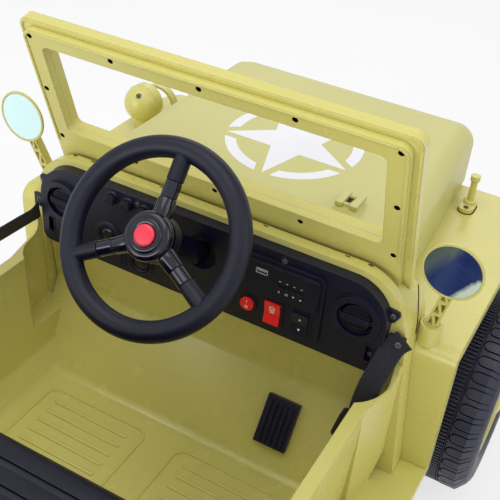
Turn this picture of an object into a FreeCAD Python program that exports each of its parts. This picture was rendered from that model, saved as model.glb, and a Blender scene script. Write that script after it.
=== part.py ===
import FreeCAD, Part
import math
import os

# A child's single-seat electric ride-on car, styled as an old open army 4x4.
# Millimetres. +Z is up, the car faces -Y and its left side is +X.
# Places along Y are measured from the foot of the windscreen. Every piece is moved
# as it is saved, so that the origin lies on the ground under the middle of the car.

V = FreeCAD.Vector

# General
overrun = 10.0              # how far a cutting shape runs past what it cuts
skin = 4.0                  # moulded plastic skin of fenders and hood
seat_clear = 0.3            # gap between pieces that lie beside each other
running_clear = 0.05        # radial gap of a shaft in its hole
full_turn = 360.0
quarter_turn = 90.0
sides = (1, -1)             # left and right

# Main places that the other pieces are set out from
wheel_radius = 140.0        # to the tips of the lugs
axle_z = wheel_radius
front_axle_y = -215.0
wheelbase = 650.0
rear_axle_y = front_axle_y + wheelbase
tub_half_width = 235.0
tub_taper = 6.0
tub_foot_half_width = tub_half_width - tub_taper
tub_rim_rise = 166.0        # above the axles
tub_rim_z = axle_z + tub_rim_rise

# Cowl
cowl_rise = 107.0           # above the tub's rim
cowl_out = 5.0
cowl_splay = 26.0           # how much wider each side is at its foot
cowl_foot_rise = 10.0        # above the axles
cowl_corner = 60.0
cowl_front_y = -45.0
cowl_depth = 59.0
cowl_wall = 5.0
cowl_rim_rise = 16.0
cowl_foot_z = axle_z + cowl_foot_rise
cowl_top_z = tub_rim_z + cowl_rise
cowl_half_width = tub_half_width + cowl_out
cowl_foot_half_width = cowl_half_width + cowl_splay
cowl_rear_y = cowl_front_y + cowl_depth

# Tub
tub_wall = 5.0
rim_shelf = 15.0            # width of the rolled edge along each side
rim_bead_depth = 18.0
inner_mid_in = 12.0
inner_foot_in = 30.0
floor_drop = 7.0            # below the axles
inner_mid_rise = 32.0
toe_rise = 98.0
toe_foot_y = 65.0
riser_y = 236.0
riser_lean = 12.0
deck_rise = 92.0
tail_reach = 160.0          # behind the rear axle
tail_lift = 25.0
rear_side_rise = 86.0
rear_rise_foot_y = 340.0
rear_rise_run = 24.0
door_post_depth = 6.0
door_post_rise = 22.0
door_sweep = 16.0
rear_sweep = 40.0
tub_corner = 14.0
skirt_thickness = 8.0
flare_out = 14.0            # the sides flare out to meet the cowl's posts
flare_run = 66.0
scoop_radius = 50.0         # round hollow inside each flare
scoop_wall = 7.0
scoop_in = 16.0
scoop_rise = 67.0
tub_floor_z = axle_z - floor_drop
tub_inner_rim_x = tub_half_width - rim_shelf
tub_inner_mid_x = tub_inner_rim_x - inner_mid_in
tub_inner_foot_x = tub_inner_rim_x - inner_foot_in
tub_inner_mid_z = tub_floor_z + inner_mid_rise
toe_top_z = tub_floor_z + toe_rise
riser_top_y = riser_y + riser_lean
deck_z = tub_floor_z + deck_rise
tail_y = rear_axle_y + tail_reach
tail_foot_z = tub_floor_z + tail_lift
rear_rim_z = tub_rim_z + rear_side_rise
rear_rise_top_y = rear_rise_foot_y + rear_rise_run
door_front_y = cowl_rear_y + door_post_depth
door_post_z = tub_rim_z + door_post_rise
flare_x = tub_half_width + flare_out
flare_rear_y = cowl_rear_y + flare_run
scoop_reach = flare_x - scoop_wall
scoop_y = cowl_rear_y + scoop_in
scoop_foot_z = tub_floor_z + scoop_rise

# Wheels
tyre_width = 98.0
tyre_clear = 13.0           # between the tyres and the foot of the tub
tread_depth = 6.0
lug_count = 22
lug_fill_share = 0.62       # how much of its pitch a lug takes
lug_run = 33.0              # how far a lug reaches across the tread
shoulder_drop = 16.0
shoulder_in = 15.0
bead_share = 0.6            # of the wheel's radius
bead_inset = 8.0            # how far the beads lie inside the bulge of the sidewalls
sidewall_share = 0.45       # where the sidewall is widest, between bead and shoulder
rim_wall = 6.0
rim_lip = 4.0
disc_inset = 18.0
disc_thickness = 7.0
hub_radius = 17.0
hub_inboard = 27.0
hub_outboard = 6.0
axle_radius = 6.0
vent_radius = 9.0
vent_ring_share = 0.53      # where the holes lie, between cap and rim
vent_count = 8
cap_radius = 27.0
cap_depth = 13.0
cap_wall = 4.0
cap_fillet = 6.0
bead_radius = wheel_radius * bead_share
wheel_centre_x = tub_foot_half_width + tyre_clear + tyre_width / 2

# Front panel, closed round by the hood's front edge
panel_thickness = 8.0
panel_clear = 1.5           # gap between the panel's edge and the hood
panel_lift = 36.0           # above the foot of the fenders
slot_count = 8
slot_width = 11.0
slot_pitch = 18.0
slot_foot_rise = 76.0
slot_top_drop = 32.0
headlamp_in = 60.0
headlamp_drop = 90.0
headlamp_radius = 37.0
headlamp_depth = 14.0
bezel_width = 5.0
lens_bulge = 9.0

# Hood
hood_gap = 1.0
hood_step = 0.5
hood_rise = 16.5            # from its rear edge to its front edge
hood_in = 34.0
hood_taper = 20.0
hood_shoulder = 27.0
nose_length = 22.0          # the top slopes down over its last stretch
nose_drop = 9.0
hood_reach = 170.0          # ahead of the front axle
hood_rear_y = cowl_front_y - hood_gap
hood_front_y = front_axle_y - hood_reach
hood_rear_z = cowl_top_z + hood_step
hood_front_z = hood_rear_z + hood_rise
hood_rear_half_width = cowl_half_width - hood_in
hood_front_half_width = hood_rear_half_width - hood_taper
pad_x = -120.0
pad_in = 60.0
pad_length = 44.0
pad_width = 40.0
pad_rise = 6.0
pad_taper = 8.0
catch_length = 30.0
catch_width = 9.0
catch_rise = 5.0
pad_y = hood_rear_y - pad_in
hinge_x = 120.0
hinge_radius = 4.5
hinge_pin_radius = 2.5
hinge_length = 34.0         # of the hood's part, between two fixed ones
hinge_end_length = 12.0
hinge_gap = 0.8

# Fenders
fender_reach = 62.0
fender_drop = 75.0          # of their tops below the cowl's top
fender_lap = 30.0           # alongside the cowl
fender_lip = 16.0
fender_corner = 40.0
fender_roll = 8.0
fender_bend = 18.0
bay_in = 8.0
bay_rise = 50.0
rear_fender_reach = 167.0
rear_fender_lap = 3.0
rear_fender_drop = 25.0
arch_gap = 20.0
step_thickness = 14.0
fender_edge_x = tub_half_width + fender_reach
fender_inner_x = hood_front_half_width - bay_in
fender_top_z = cowl_top_z - fender_drop
fender_front_y = hood_front_y + panel_thickness
fender_rear_y = cowl_front_y + fender_lap
fender_foot_z = cowl_foot_z
bay_foot_z = fender_foot_z + bay_rise
rear_fender_front_y = rear_axle_y - rear_fender_reach
rear_fender_rear_y = tail_y + rear_fender_lap
rear_fender_foot_z = deck_z - rear_fender_drop
arch_radius = wheel_radius + arch_gap
panel_foot_z = fender_foot_z + panel_lift
slot_foot_z = panel_foot_z + slot_foot_rise
slot_top_z = hood_front_z - slot_top_drop
headlamp_x = hood_front_half_width - headlamp_in
headlamp_z = hood_front_z - headlamp_drop

# Windscreen, built upright about its lowest row of screws and then leaned back
screen_lean = 17.4
screen_in = 12.0
screen_step = 9.0           # how far the front half stands out past the rear half
screen_top = 158.0
screen_top_step = 7.0
screen_foot = -62.0
screen_rear_depth = 9.0
screen_front_depth = 12.0
screen_corner = 12.0
screen_side_bar = 30.5
screen_top_bar = 25.0
screen_datum_rise = 35.0
opening_foot = 10.5
opening_corner = 8.0
screw_radius = 3.2
screw_depth = 5.0
screw_edge_in = 9.0
screw_top_in = 14.8
screen_half_width = cowl_half_width - screen_in
screen_rear_half_width = screen_half_width - screen_step
screen_rear_top = screen_top - screen_top_step
screen_datum_z = cowl_top_z + screen_datum_rise
opening_half_width = screen_half_width - screen_side_bar
opening_top = screen_top - screen_top_bar
screw_edge_x = screen_rear_half_width - screw_edge_in
screw_row_x = screw_edge_x / 2
screw_top = screen_top - screw_top_in

# Dash panel
dash_stand = 13.0
dash_top_rise = 8.0
dash_foot_rise = 5.0
dash_in = 14.0
dash_corner = 46.0
dash_foot_corner = 12.0
vent_in = 34.0
vent_drop = 45.0
vent_outer = 27.5
vent_inner = 20.5
vent_rise = 4.0
vent_depth = 10.0
vent_knob_radius = 16.0
vent_bar_width = 7.0
vent_bar_rise = 4.0
column_recess = 21.5
column_recess_depth = 12.0
ear_out = 1.5               # screw ears at the dash's shoulders
ear_drop = 33.0
ear_radius = 6.0
ear_thickness = 3.0
dash_slot_in = 14.0          # upright screw slots at the dash's ends
dash_slot_rise = 25.0
dash_slot_width = 7.0
dash_slot_length = 22.0
dash_slot_depth = 8.0
gauge_places = ((125.0, 67.0), (79.0, 87.0))    # across, and below the dash's top
gauge_radius = 17.0
gauge_rise = 3.0
knob_places = ((118.0, 12.0), (96.0, 13.0), (74.0, 14.0))
knob_radius = 6.5
knob_rise = 9.0
console_gap = 9.5           # from the vent's ring
console_width = 95.0
console_drop = 11.0
console_height = 92.0
console_rise = 3.0
console_corner = 9.0
module_height = 48.0
module_rise = 2.5
switch_drop = 68.0
round_switch_in = 7.5
round_switch_radius = 8.3
round_bezel_radius = 11.0
rocker_width = 19.0
rocker_height = 29.0
rocker_rise = 4.0
red_rocker_in = 38.6
black_rocker_in = 72.5
switch_frame = 3.0
frame_rise = 1.5
dash_face_y = cowl_rear_y + dash_stand
dash_top_z = cowl_top_z + dash_top_rise
dash_foot_z = tub_rim_z + dash_foot_rise
dash_half_width = cowl_half_width - dash_in
vent_x = dash_half_width - vent_in
vent_z = dash_top_z - vent_drop
console_right_x = console_gap + vent_outer - vent_x
console_left_x = console_right_x + console_width
console_top_z = dash_top_z - console_drop
console_foot_z = console_top_z - console_height
module_foot_z = console_top_z - module_height
switch_z = console_top_z - switch_drop
round_switch_x = console_left_x - round_switch_in
red_rocker_x = console_left_x - red_rocker_in
black_rocker_x = console_left_x - black_rocker_in

# Steering
ring_reach = 91.6           # of the wheel's ring behind the dash
ring_rise = 31.8
steering_rise = 38.4        # angle of the column's axis above level
ring_radius = 93.1
ring_tube = 11.5
spoke_count = 3
spoke_radius = 7.5
hub_dome_radius = 25.5
hub_base = -14.0
hub_top = 17.0
button_radius = 11.0
button_rise = 3.0
column_radius = 6.0
column_clear = 1.8          # round the column where it passes the bulkhead
collar_radius = 13.0
collar_half_length = 12.0
collar_up = 40.0            # of the collar from the column's foot
support_bar = 12.0
crank_length = 42.0
crank_width = 16.0
crank_thickness = 6.0
peg_radius = 4.0
peg_length = 20.0
peg_reach = 12.4            # from the crank to the middle of the fork
fork_clear = 1.5
fork_below = 14.4
fork_above = 13.6           # of the prongs' tips over the peg

# Front axle and steering linkage
kingpin_in = 43.0
kingpin_radius = 5.0
yoke_height = 72.0
yoke_ear = 6.0
yoke_half_width = 14.0
yoke_back = 37.0
beam_size = 26.0
knuckle_radius = 13.0
arm_length = 60.0
arm_rise = 12.0
arm_thickness = 6.0
arm_half_width = 8.0
tie_pin_radius = 4.0
tie_thickness = 6.0
tie_half_width = 8.0
fork_thickness = 6.0
fork_half_width = 22.0
kingpin_x = wheel_centre_x - kingpin_in
beam_foot_z = axle_z - beam_size / 2
arm_foot_z = axle_z + arm_rise
tie_y = front_axle_y + arm_length

# The column is as long as it takes for the crank's peg to meet the tie rod's fork
wheel_ring_y = dash_face_y + ring_reach
wheel_ring_z = dash_top_z + ring_rise
column_cos = math.cos(math.radians(steering_rise))
column_sin = math.sin(math.radians(steering_rise))
column_length = (wheel_ring_y + crank_length * column_sin - tie_y) / column_cos - peg_reach
support_t = column_length - collar_up
peg_z = wheel_ring_z - (column_length + peg_reach) * column_sin - crank_length * column_cos
fork_slot_foot_z = peg_z - fork_below
fork_top_z = peg_z + fork_above

# Chassis
gearbox_width = 61.0
rail_gap = 17.0             # from the gear housings
rail_width = 25.0
rail_height = 26.0
rail_front_reach = 20.0
rail_rear_in = 35.0
tray_in = 5.0
tray_length = 122.0
tray_thickness = 4.0
rear_post_thickness = 25.0
axle_block_half = 16.0
axle_block_top = 16.0
gearbox_outer_x = tub_foot_half_width - skirt_thickness
gearbox_inner_x = gearbox_outer_x - gearbox_width
rail_outer_x = gearbox_inner_x - rail_gap
rail_inner_x = rail_outer_x - rail_width
rail_foot_z = beam_foot_z - rail_height
rail_front_y = hood_front_y - rail_front_reach
rail_rear_y = tail_y - rail_rear_in
tray_front_y = fender_front_y + tray_in
tray_rear_y = tray_front_y + tray_length

# Battery, motors
battery_width = 150.0
battery_length = 98.0
battery_height = 95.0
gearbox_half_length = 50.0
gearbox_half_height = 36.0
gearbox_corner = 20.0
motor_radius = 17.0
motor_length = 45.0
lug_half_width = 12.0

# Bumpers
bumper_out = 15.0
bumper_lift = 27.0
bumper_height = 46.0
bumper_thickness = 20.0
bumper_corner = 18.0
bracket_thickness = 6.0
bumperette_lap = 22.0       # inward of the rails
bumperette_width = 80.0
bumperette_standoff = 14.0
bumper_half_width = tub_half_width + bumper_out
bumper_foot_z = rail_foot_z + bumper_lift
bumperette_inner_x = rail_inner_x - bumperette_lap
bumperette_outer_x = bumperette_inner_x + bumperette_width

# Mirrors
mirror_out = 36.7
mirror_ahead = 19.9         # of the cowl's rear edge
mirror_rise = 39.5
mirror_radius = 32.0
mirror_depth = 11.0
mirror_rim = 2.5
mirror_glass_depth = 2.0
arm_foot_out = 23.0
socket_radius = 12.5
socket_bore = 9.0
socket_height = 22.0
truss_width = 13.0
truss_depth = 10.0
truss_wall = 2.5
truss_pocket = 7.0
truss_bays = 3
mirror_x = tub_half_width + mirror_out
mirror_y = cowl_rear_y - mirror_ahead
mirror_z = cowl_top_z + mirror_rise
arm_foot_x = tub_half_width + arm_foot_out

# Lamp and hoop on the left fender
lamp_in = 26.4
lamp_back = 127.0
lamp_rise = 36.0
lamp_radius = 26.5
lamp_nose = 14.0
lamp_foot_radius = 12.0
hoop_in = 21.0
hoop_back = 75.0
hoop_radius = 30.0
hoop_width = 12.0
hoop_thickness = 4.0
hoop_rise = 14.0
lamp_x = fender_edge_x - lamp_in
lamp_y = fender_front_y + lamp_back
lamp_z = fender_top_z + lamp_rise
hoop_x = fender_edge_x - hoop_in
hoop_y = fender_front_y + hoop_back
hoop_crown_z = fender_top_z + hoop_rise

# Hood latches
latch_out = 26.0
latch_back = 61.0
latch_length = 34.0
latch_width = 20.0
latch_rise = 6.0
latch_post_radius = 4.5
latch_post_rise = 47.0
latch_head_radius = 6.5
latch_head = 7.0
latch_x = hood_front_half_width + latch_out
latch_y = fender_front_y + latch_back
latch_top_z = fender_top_z + latch_post_rise

# Pedal
pedal_x = -123.0
pedal_width = 41.0
pedal_drop = 22.0
pedal_length = 60.0
pedal_thickness = 9.0
pedal_rib_count = 5
pedal_rib = 3.0
pedal_top_z = toe_top_z - pedal_drop

# Seat
seat_in = 25.0
seat_gap = 14.0
seat_depth = 208.0
seat_cushion = 38.0
seat_bolster = 22.0
seat_back_rise = 280.0
seat_back_thickness = 36.0
seat_back_lean = 34.0
seat_corner = 18.0
seat_half_width = tub_inner_foot_x - seat_in
seat_front_y = riser_top_y + seat_gap
seat_rear_y = seat_front_y + seat_depth
seat_back_top_z = deck_z + seat_back_rise

# Webbing
web_width = 25.0
web_thickness = 2.0
web_tilt_share = 0.3        # slope of the hanging strap's width, as rise over run
hang_drop = 104.0
hang_in = 20.0
hang_clear = 1.0
anchor_out = 2.0
anchor_rise = 50.0
anchor_size = 18.0
anchor_thickness = 3.0
front_strap_rise = 36.0
rear_anchor_in = 28.0
rear_anchor_drop = 28.0
rear_web_length = 40.0
buckle_ahead = 58.0         # of the rear fender
buckle_length = 44.0
buckle_width = 36.0
buckle_thickness = 12.0
anchor_x = tub_half_width + anchor_out
anchor_z = tub_rim_z + anchor_rise
front_strap_z = tub_rim_z + front_strap_rise
rear_anchor_y = rear_rise_top_y + rear_anchor_in
rear_anchor_z = rear_rim_z - rear_anchor_drop
buckle_y = rear_fender_front_y - buckle_ahead

# Spare wheel
spare_radius = 112.0
spare_width = 58.0
spare_rise = 87.0
spare_bead_radius = 66.0
spare_standoff = 11.0
spare_bore = 11.0
spare_z = deck_z + spare_rise

# Tail lamps
tail_lamp_in = 43.0
tail_lamp_drop = 40.0
tail_lamp_radius = 17.0
tail_lamp_depth = 12.0
tail_lamp_x = tub_half_width - tail_lamp_in
tail_lamp_z = rear_rim_z - tail_lamp_drop

bumper_front_y = rail_front_y - bumper_thickness
spare_rear_y = tail_y + spare_standoff + spare_width - disc_inset + hub_outboard + cap_depth
origin_y = (bumper_front_y + spare_rear_y) / 2


# Shapes that several pieces use

def place(axis, a, b, along):
    """Point at (a, b) in the plane square to an axis; a and b follow X, Y, Z order."""
    if axis == "X":
        return V(along, a, b)
    if axis == "Y":
        return V(a, along, b)
    return V(a, b, along)


def rounded_wire(points, radii=0):
    """Closed wire through the points, with an arc of its own radius at each corner."""
    if not isinstance(radii, (list, tuple)):
        radii = [radii] * len(points)
    arcs = []
    for index, corner in enumerate(points):
        following = points[(index + 1) % len(points)]
        back = (points[index - 1] - corner).normalize()
        ahead = (following - corner).normalize()
        radius = radii[index]
        if not radius:
            arcs.append((corner, None, corner))
            continue
        half_angle = back.getAngle(ahead) / 2
        reach = radius / math.tan(half_angle)
        to_middle = radius / math.sin(half_angle) - radius
        middle = corner + (back + ahead).normalize() * to_middle
        arcs.append((corner + back * reach, middle, corner + ahead * reach))
    edges = []
    for index, (start, middle, end) in enumerate(arcs):
        if middle is not None:
            edges.append(Part.Arc(start, middle, end).toShape())
        next_start = arcs[(index + 1) % len(arcs)][0]
        if not end.isEqual(next_start, 1e-6):
            edges.append(Part.makeLine(end, next_start))
    return Part.Wire(edges)


def prism(axis, corners, start, end, radii=0):
    """Outline in the plane square to an axis, drawn out from start to end along it."""
    wire = rounded_wire([place(axis, a, b, start) for a, b in corners], radii)
    return Part.Face(wire).extrude(place(axis, 0, 0, end - start))


def box(x_span, y_span, z_span):
    """Block between two values on each axis."""
    low = V(min(x_span), min(y_span), min(z_span))
    high = V(max(x_span), max(y_span), max(z_span))
    size = high - low
    return Part.makeBox(size.x, size.y, size.z, low)


def rectangle(a_span, b_span):
    """Corners of a rectangle."""
    (a0, a1), (b0, b1) = a_span, b_span
    return [(a0, b0), (a1, b0), (a1, b1), (a0, b1)]


def rod(start, end, radius):
    """Round bar between two points."""
    along = end - start
    return Part.makeCylinder(radius, along.Length, start, along)


def disc(axis, a, b, start, end, radius):
    """Round bar along an axis."""
    return rod(place(axis, a, b, start), place(axis, a, b, end), radius)


def lathe(profile, base, direction, radii=0):
    """Closed profile of (height, radius) corners turned about a line from base."""
    wire = rounded_wire([V(height, radius, 0) for height, radius in profile], radii)
    solid = Part.Face(wire).revolve(V(0, 0, 0), V(1, 0, 0), full_turn)
    solid.Placement = FreeCAD.Placement(base, FreeCAD.Rotation(V(1, 0, 0), direction))
    return solid


def mirrored(shape):
    """The same shape on the other side of the car."""
    return shape.mirror(V(0, 0, 0), V(1, 0, 0))


def both(shape):
    """A shape on the left with its mirror image, as one compound."""
    return Part.Compound([shape, mirrored(shape)])


def fused(shapes):
    """One solid from shapes that meet."""
    return shapes[0].multiFuse(shapes[1:]).removeSplitter()


# Wheels

def lug_ring(radius, width, bead, lug_reach, turn):
    """One shoulder of a tyre: a toothed ring whose lugs fall away to the sidewall."""
    root = radius - tread_depth
    points = []
    pitch = full_turn / lug_count
    half = pitch * lug_fill_share / 2
    for index in range(lug_count):
        centre = index * pitch + turn
        for angle, reach in ((centre - half, root), (centre - half, radius),
                             (centre + half, radius), (centre + half, root)):
            bearing = math.radians(angle)
            points.append(V(0, reach * math.cos(bearing), reach * math.sin(bearing)))
    face = Part.Face(Part.makePolygon(points + points[:1]))
    ring = face.extrude(V(lug_reach, 0, 0))
    inner = width / 2 - lug_reach
    ring.translate(V(inner, 0, 0))
    outer = width / 2
    drop_start = radius - shoulder_drop
    crown = lathe([(inner, bead), (inner, radius + overrun), (outer - shoulder_in, radius + overrun),
                   (outer - shoulder_in, radius), (outer, drop_start), (outer, bead)],
                  V(0, 0, 0), V(1, 0, 0))
    return ring.common(crown)


def tyre_shape(radius, width, bead):
    """Tyre about the X axis, middle at the origin."""
    half = width / 2
    root = radius - tread_depth
    lug_reach = lug_run * width / tyre_width
    shoulder = radius - shoulder_drop
    waist = bead + (shoulder - bead) * sidewall_share
    right = [(half - shoulder_in, root), (half, shoulder), (half, waist), (half - bead_inset, bead)]
    left = [(-height, reach) for height, reach in reversed(right)]
    carcass = lathe(right + left, V(0, 0, 0), V(1, 0, 0))
    half_pitch = full_turn / lug_count / 2
    outer_ring = lug_ring(radius, width, waist, lug_reach, 0)
    inner_ring = mirrored(lug_ring(radius, width, waist, lug_reach, half_pitch))
    return fused([carcass, outer_ring, inner_ring])


def rim_half_width(width):
    """Half the width of the rim between the tyre's beads."""
    return width / 2 - bead_inset


def rim_face(width):
    """Where the outer face of the wheel's disc lies."""
    return width / 2 - disc_inset


def rim_shape(radius, width, bore):
    """Dished wheel about the X axis, its outer face and closed cap towards +X."""
    half = rim_half_width(width)
    face = rim_face(width)
    back = face - disc_thickness
    inside = radius - rim_wall
    barrel = lathe([(-half, inside), (-half, radius), (half, radius), (half + rim_lip, radius),
                    (half + rim_lip, inside), (face, inside - rim_lip), (back, inside)],
                   V(0, 0, 0), V(1, 0, 0))
    web = disc("X", 0, 0, back, face, inside)
    hub = disc("X", 0, 0, face - hub_inboard, face, hub_radius)
    cap_end = face + hub_outboard + cap_depth
    cap = lathe([(face, 0), (face, cap_radius), (cap_end, cap_radius), (cap_end, 0)],
                V(0, 0, 0), V(1, 0, 0), [0, 0, cap_fillet, 0])
    rim = fused([barrel, web, hub, cap])
    cuts = [disc("X", 0, 0, -width, cap_end - cap_wall, bore)]
    for index in range(vent_count):
        bearing = math.radians(index * full_turn / vent_count)
        reach = cap_radius + (inside - cap_radius) * vent_ring_share
        cuts.append(disc("X", reach * math.cos(bearing), reach * math.sin(bearing),
                         back - overrun, face + overrun, vent_radius))
    return rim.cut(Part.Compound(cuts))


def wheel(side, axle_y):
    """Tyre and rim of one road wheel."""
    pieces = {
        "tyre": tyre_shape(wheel_radius, tyre_width, bead_radius),
        "rim": rim_shape(bead_radius, tyre_width, axle_radius + running_clear),
    }
    for name, shape in pieces.items():
        if side < 0:
            shape = mirrored(shape)
        shape.translate(V(side * wheel_centre_x, axle_y, axle_z))
        pieces[name] = shape
    return pieces


def stub_end_x():
    """Where the axle ends inside the cap."""
    return wheel_centre_x + rim_face(tyre_width) + hub_outboard


# Tub

def tub_section(top_z, inner):
    """Outline of the tub across the car, outside or inside."""
    if inner:
        right = [(tub_inner_foot_x, tub_floor_z), (tub_inner_mid_x, tub_inner_mid_z),
                 (tub_inner_rim_x, tub_rim_z - rim_bead_depth), (tub_inner_rim_x, top_z)]
        radii = [tub_corner, tub_corner, 0, 0]
    else:
        right = [(tub_foot_half_width, tub_floor_z - tub_wall), (tub_foot_half_width, tail_foot_z),
                 (tub_half_width, tub_rim_z - rim_bead_depth), (tub_half_width, top_z)]
        radii = [tub_corner, 0, 0, 0]
    left = [(-x, z) for x, z in reversed(right)]
    return right + left, radii + radii[::-1]


def tub():
    """Open body: floor, toe board, seat deck, sides with low door cuts, and tail."""
    wall = tub_wall
    over = rear_rim_z + overrun
    side_view = [(-wall, tub_rim_z), (-wall, toe_top_z - wall), (toe_foot_y - wall, tub_floor_z - wall),
                 (riser_y + wall, tub_floor_z - wall), (riser_top_y + wall, deck_z - wall),
                 (tail_y, deck_z - wall), (tail_y, rear_rim_z), (rear_rise_top_y, rear_rim_z),
                 (rear_rise_foot_y, tub_rim_z), (door_front_y, tub_rim_z), (door_front_y, door_post_z),
                 (cowl_rear_y, door_post_z), (cowl_rear_y, tub_rim_z)]
    side_radii = [0, tub_corner, tub_corner, tub_corner, tub_corner, 0, tub_corner, rear_sweep,
                  rear_sweep, door_sweep, 0, 0, 0]
    profile = prism("X", side_view, -fender_edge_x, fender_edge_x, side_radii)
    corners, radii = tub_section(over, False)
    section = prism("Y", corners, -wall - overrun, tail_y + overrun, radii)
    shell = profile.common(section)
    hollow_view = [(0, over), (0, toe_top_z), (toe_foot_y, tub_floor_z), (riser_y, tub_floor_z),
                   (riser_top_y, deck_z), (tail_y - wall, deck_z), (tail_y - wall, over)]
    cabin = prism("X", hollow_view, -tub_half_width - overrun, tub_half_width + overrun,
                  [0, tub_corner, tub_corner, tub_corner, tub_corner, tub_corner, 0])
    corners, radii = tub_section(over, True)
    shell = shell.cut(cabin.common(prism("Y", corners, -wall, tail_y, radii)))
    flare_plan = [(tub_foot_half_width, cowl_rear_y), (flare_x, cowl_rear_y), (tub_half_width, flare_rear_y),
                  (tub_foot_half_width, flare_rear_y)]
    flare = prism("Z", flare_plan, fender_foot_z, over).common(profile)
    shell = fused([shell, flare, mirrored(flare)])
    for side in sides:
        centre_x = side * (scoop_reach - scoop_radius)
        scoop = disc("Z", centre_x, scoop_y, scoop_foot_z, over, scoop_radius)
        shell = shell.cut(scoop.common(cabin))
    shell = shell.cut(prism("Y", dash_corners(seat_clear), 0, dash_face_y + seat_clear))
    skirt_x = (tub_foot_half_width - skirt_thickness, tub_foot_half_width)
    skirt = box(skirt_x, (riser_y, tail_y), (tail_foot_z, deck_z))
    tail = box((-tub_foot_half_width, tub_foot_half_width), (tail_y - wall, tail_y), (tail_foot_z, deck_z))
    step_x = (tub_foot_half_width - wall, fender_edge_x)
    step = box(step_x, (fender_rear_y + seat_clear, rear_fender_front_y - seat_clear),
               (fender_foot_z, fender_foot_z + step_thickness))
    pieces = [shell, skirt, mirrored(skirt), tail, step, mirrored(step)]
    body = fused(pieces)
    return body.cut(cowl_outer())


def cowl_arch(start, end, inset=0):
    """Arch of the cowl seen from the front, drawn out between two places along the car."""
    top = cowl_top_z - inset
    corners = [(cowl_foot_half_width - inset, cowl_foot_z), (cowl_half_width - inset, top),
               (-cowl_half_width + inset, top), (-cowl_foot_half_width + inset, cowl_foot_z)]
    radius = cowl_corner - inset
    return prism("Y", corners, start, end, [0, radius, radius, 0])


def cowl_outer():
    """Solid form of the cowl before it is hollowed."""
    form = cowl_arch(cowl_front_y, cowl_rear_y)
    inside = box((-tub_half_width - seat_clear, tub_half_width + seat_clear),
                 (cowl_front_y - overrun, cowl_rear_y + overrun),
                 (cowl_foot_z - overrun, tub_rim_z + seat_clear))
    return form.cut(inside)


def cowl():
    """Arched cowl: skin, bulkhead behind the dash, and a raised rolled rim."""
    wall = cowl_wall
    shell = cowl_outer().cut(cowl_arch(cowl_front_y - overrun, -wall, wall))
    opening = prism("Y", dash_corners(seat_clear), 0, cowl_rear_y + overrun,
                    [dash_foot_corner, dash_foot_corner, dash_corner, dash_corner])
    rim = prism("Y", [(cowl_half_width, tub_rim_z + seat_clear), (cowl_half_width, cowl_top_z + cowl_rim_rise),
                      (-cowl_half_width, cowl_top_z + cowl_rim_rise),
                      (-cowl_half_width, tub_rim_z + seat_clear)],
                0, cowl_rear_y, [0, cowl_corner, cowl_corner, 0])
    body = fused([shell, rim]).cut(opening)
    body = body.cut(column_bore(column_radius + column_clear))
    half = hinge_length / 2 + hinge_gap
    end = half + hinge_end_length
    body = body.cut(hinge_bars(-half, half, hinge_radius + hinge_gap))
    fixed = [hinge_bars(-end, -half, hinge_radius), hinge_bars(half, end, hinge_radius)]
    return fused([body, hinge_bars(-end, end, hinge_pin_radius)] + fixed)


def dash_corners(grow=0):
    """Outline of the dash panel, grown by a clearance."""
    half = dash_half_width + grow
    return [(-half, dash_foot_z - grow), (half, dash_foot_z - grow), (half, dash_top_z + grow),
            (-half, dash_top_z + grow)]


# Fenders

def fender_form(inset, foot_z):
    """L-shaped block seen from the side, inset from the fender's outer surface."""
    top = fender_top_z - inset
    front = fender_front_y + inset
    rear = fender_rear_y - inset
    edge = fender_edge_x - inset
    under = fender_top_z - fender_lip - (overrun if inset else 0)
    inner_rear = fender_rear_y - fender_lip - (overrun if inset else 0)
    side_view = [(front, under), (front, top), (rear, top), (rear, foot_z), (inner_rear, foot_z),
                 (inner_rear, under)]
    block = prism("X", side_view, fender_inner_x - (overrun if inset else 0), edge,
                  [0, fender_roll - inset, fender_bend - inset, 0, 0, 0])
    plan = rectangle((fender_inner_x - overrun, edge), (front, rear))
    return block.common(prism("Z", plan, foot_z - overrun, top + overrun,
                              [0, fender_corner - inset, 0, 0]))


def fender_left():
    """Flat-topped front fender with a down-turned lip, rear skirt and inner bay wall."""
    shell = fender_form(0, fender_foot_z).cut(fender_form(skin, fender_foot_z - overrun))
    bay_wall = box((fender_inner_x, fender_inner_x + skin),
                   (hood_front_y + panel_thickness, cowl_front_y), (bay_foot_z, fender_top_z))
    top_strip = box((fender_inner_x, fender_inner_x + skin),
                    (fender_front_y, cowl_front_y), (fender_top_z - skin, fender_top_z))
    body = fused([shell, bay_wall, top_strip])
    keep_out = cowl_arch(cowl_front_y, cowl_rear_y)
    body = body.cut(keep_out)
    socket = disc("Z", arm_foot_x, socket_y(), fender_top_z - skin, fender_top_z + socket_height,
                  socket_radius)
    bore = disc("Z", arm_foot_x, socket_y(), fender_top_z, fender_top_z + socket_height + overrun,
                socket_bore)
    return body.fuse(socket.cut(keep_out)).cut(bore).removeSplitter()


def socket_y():
    """Mirror socket's place: just ahead of the fender's rear edge."""
    return fender_rear_y - socket_radius - skin


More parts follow.
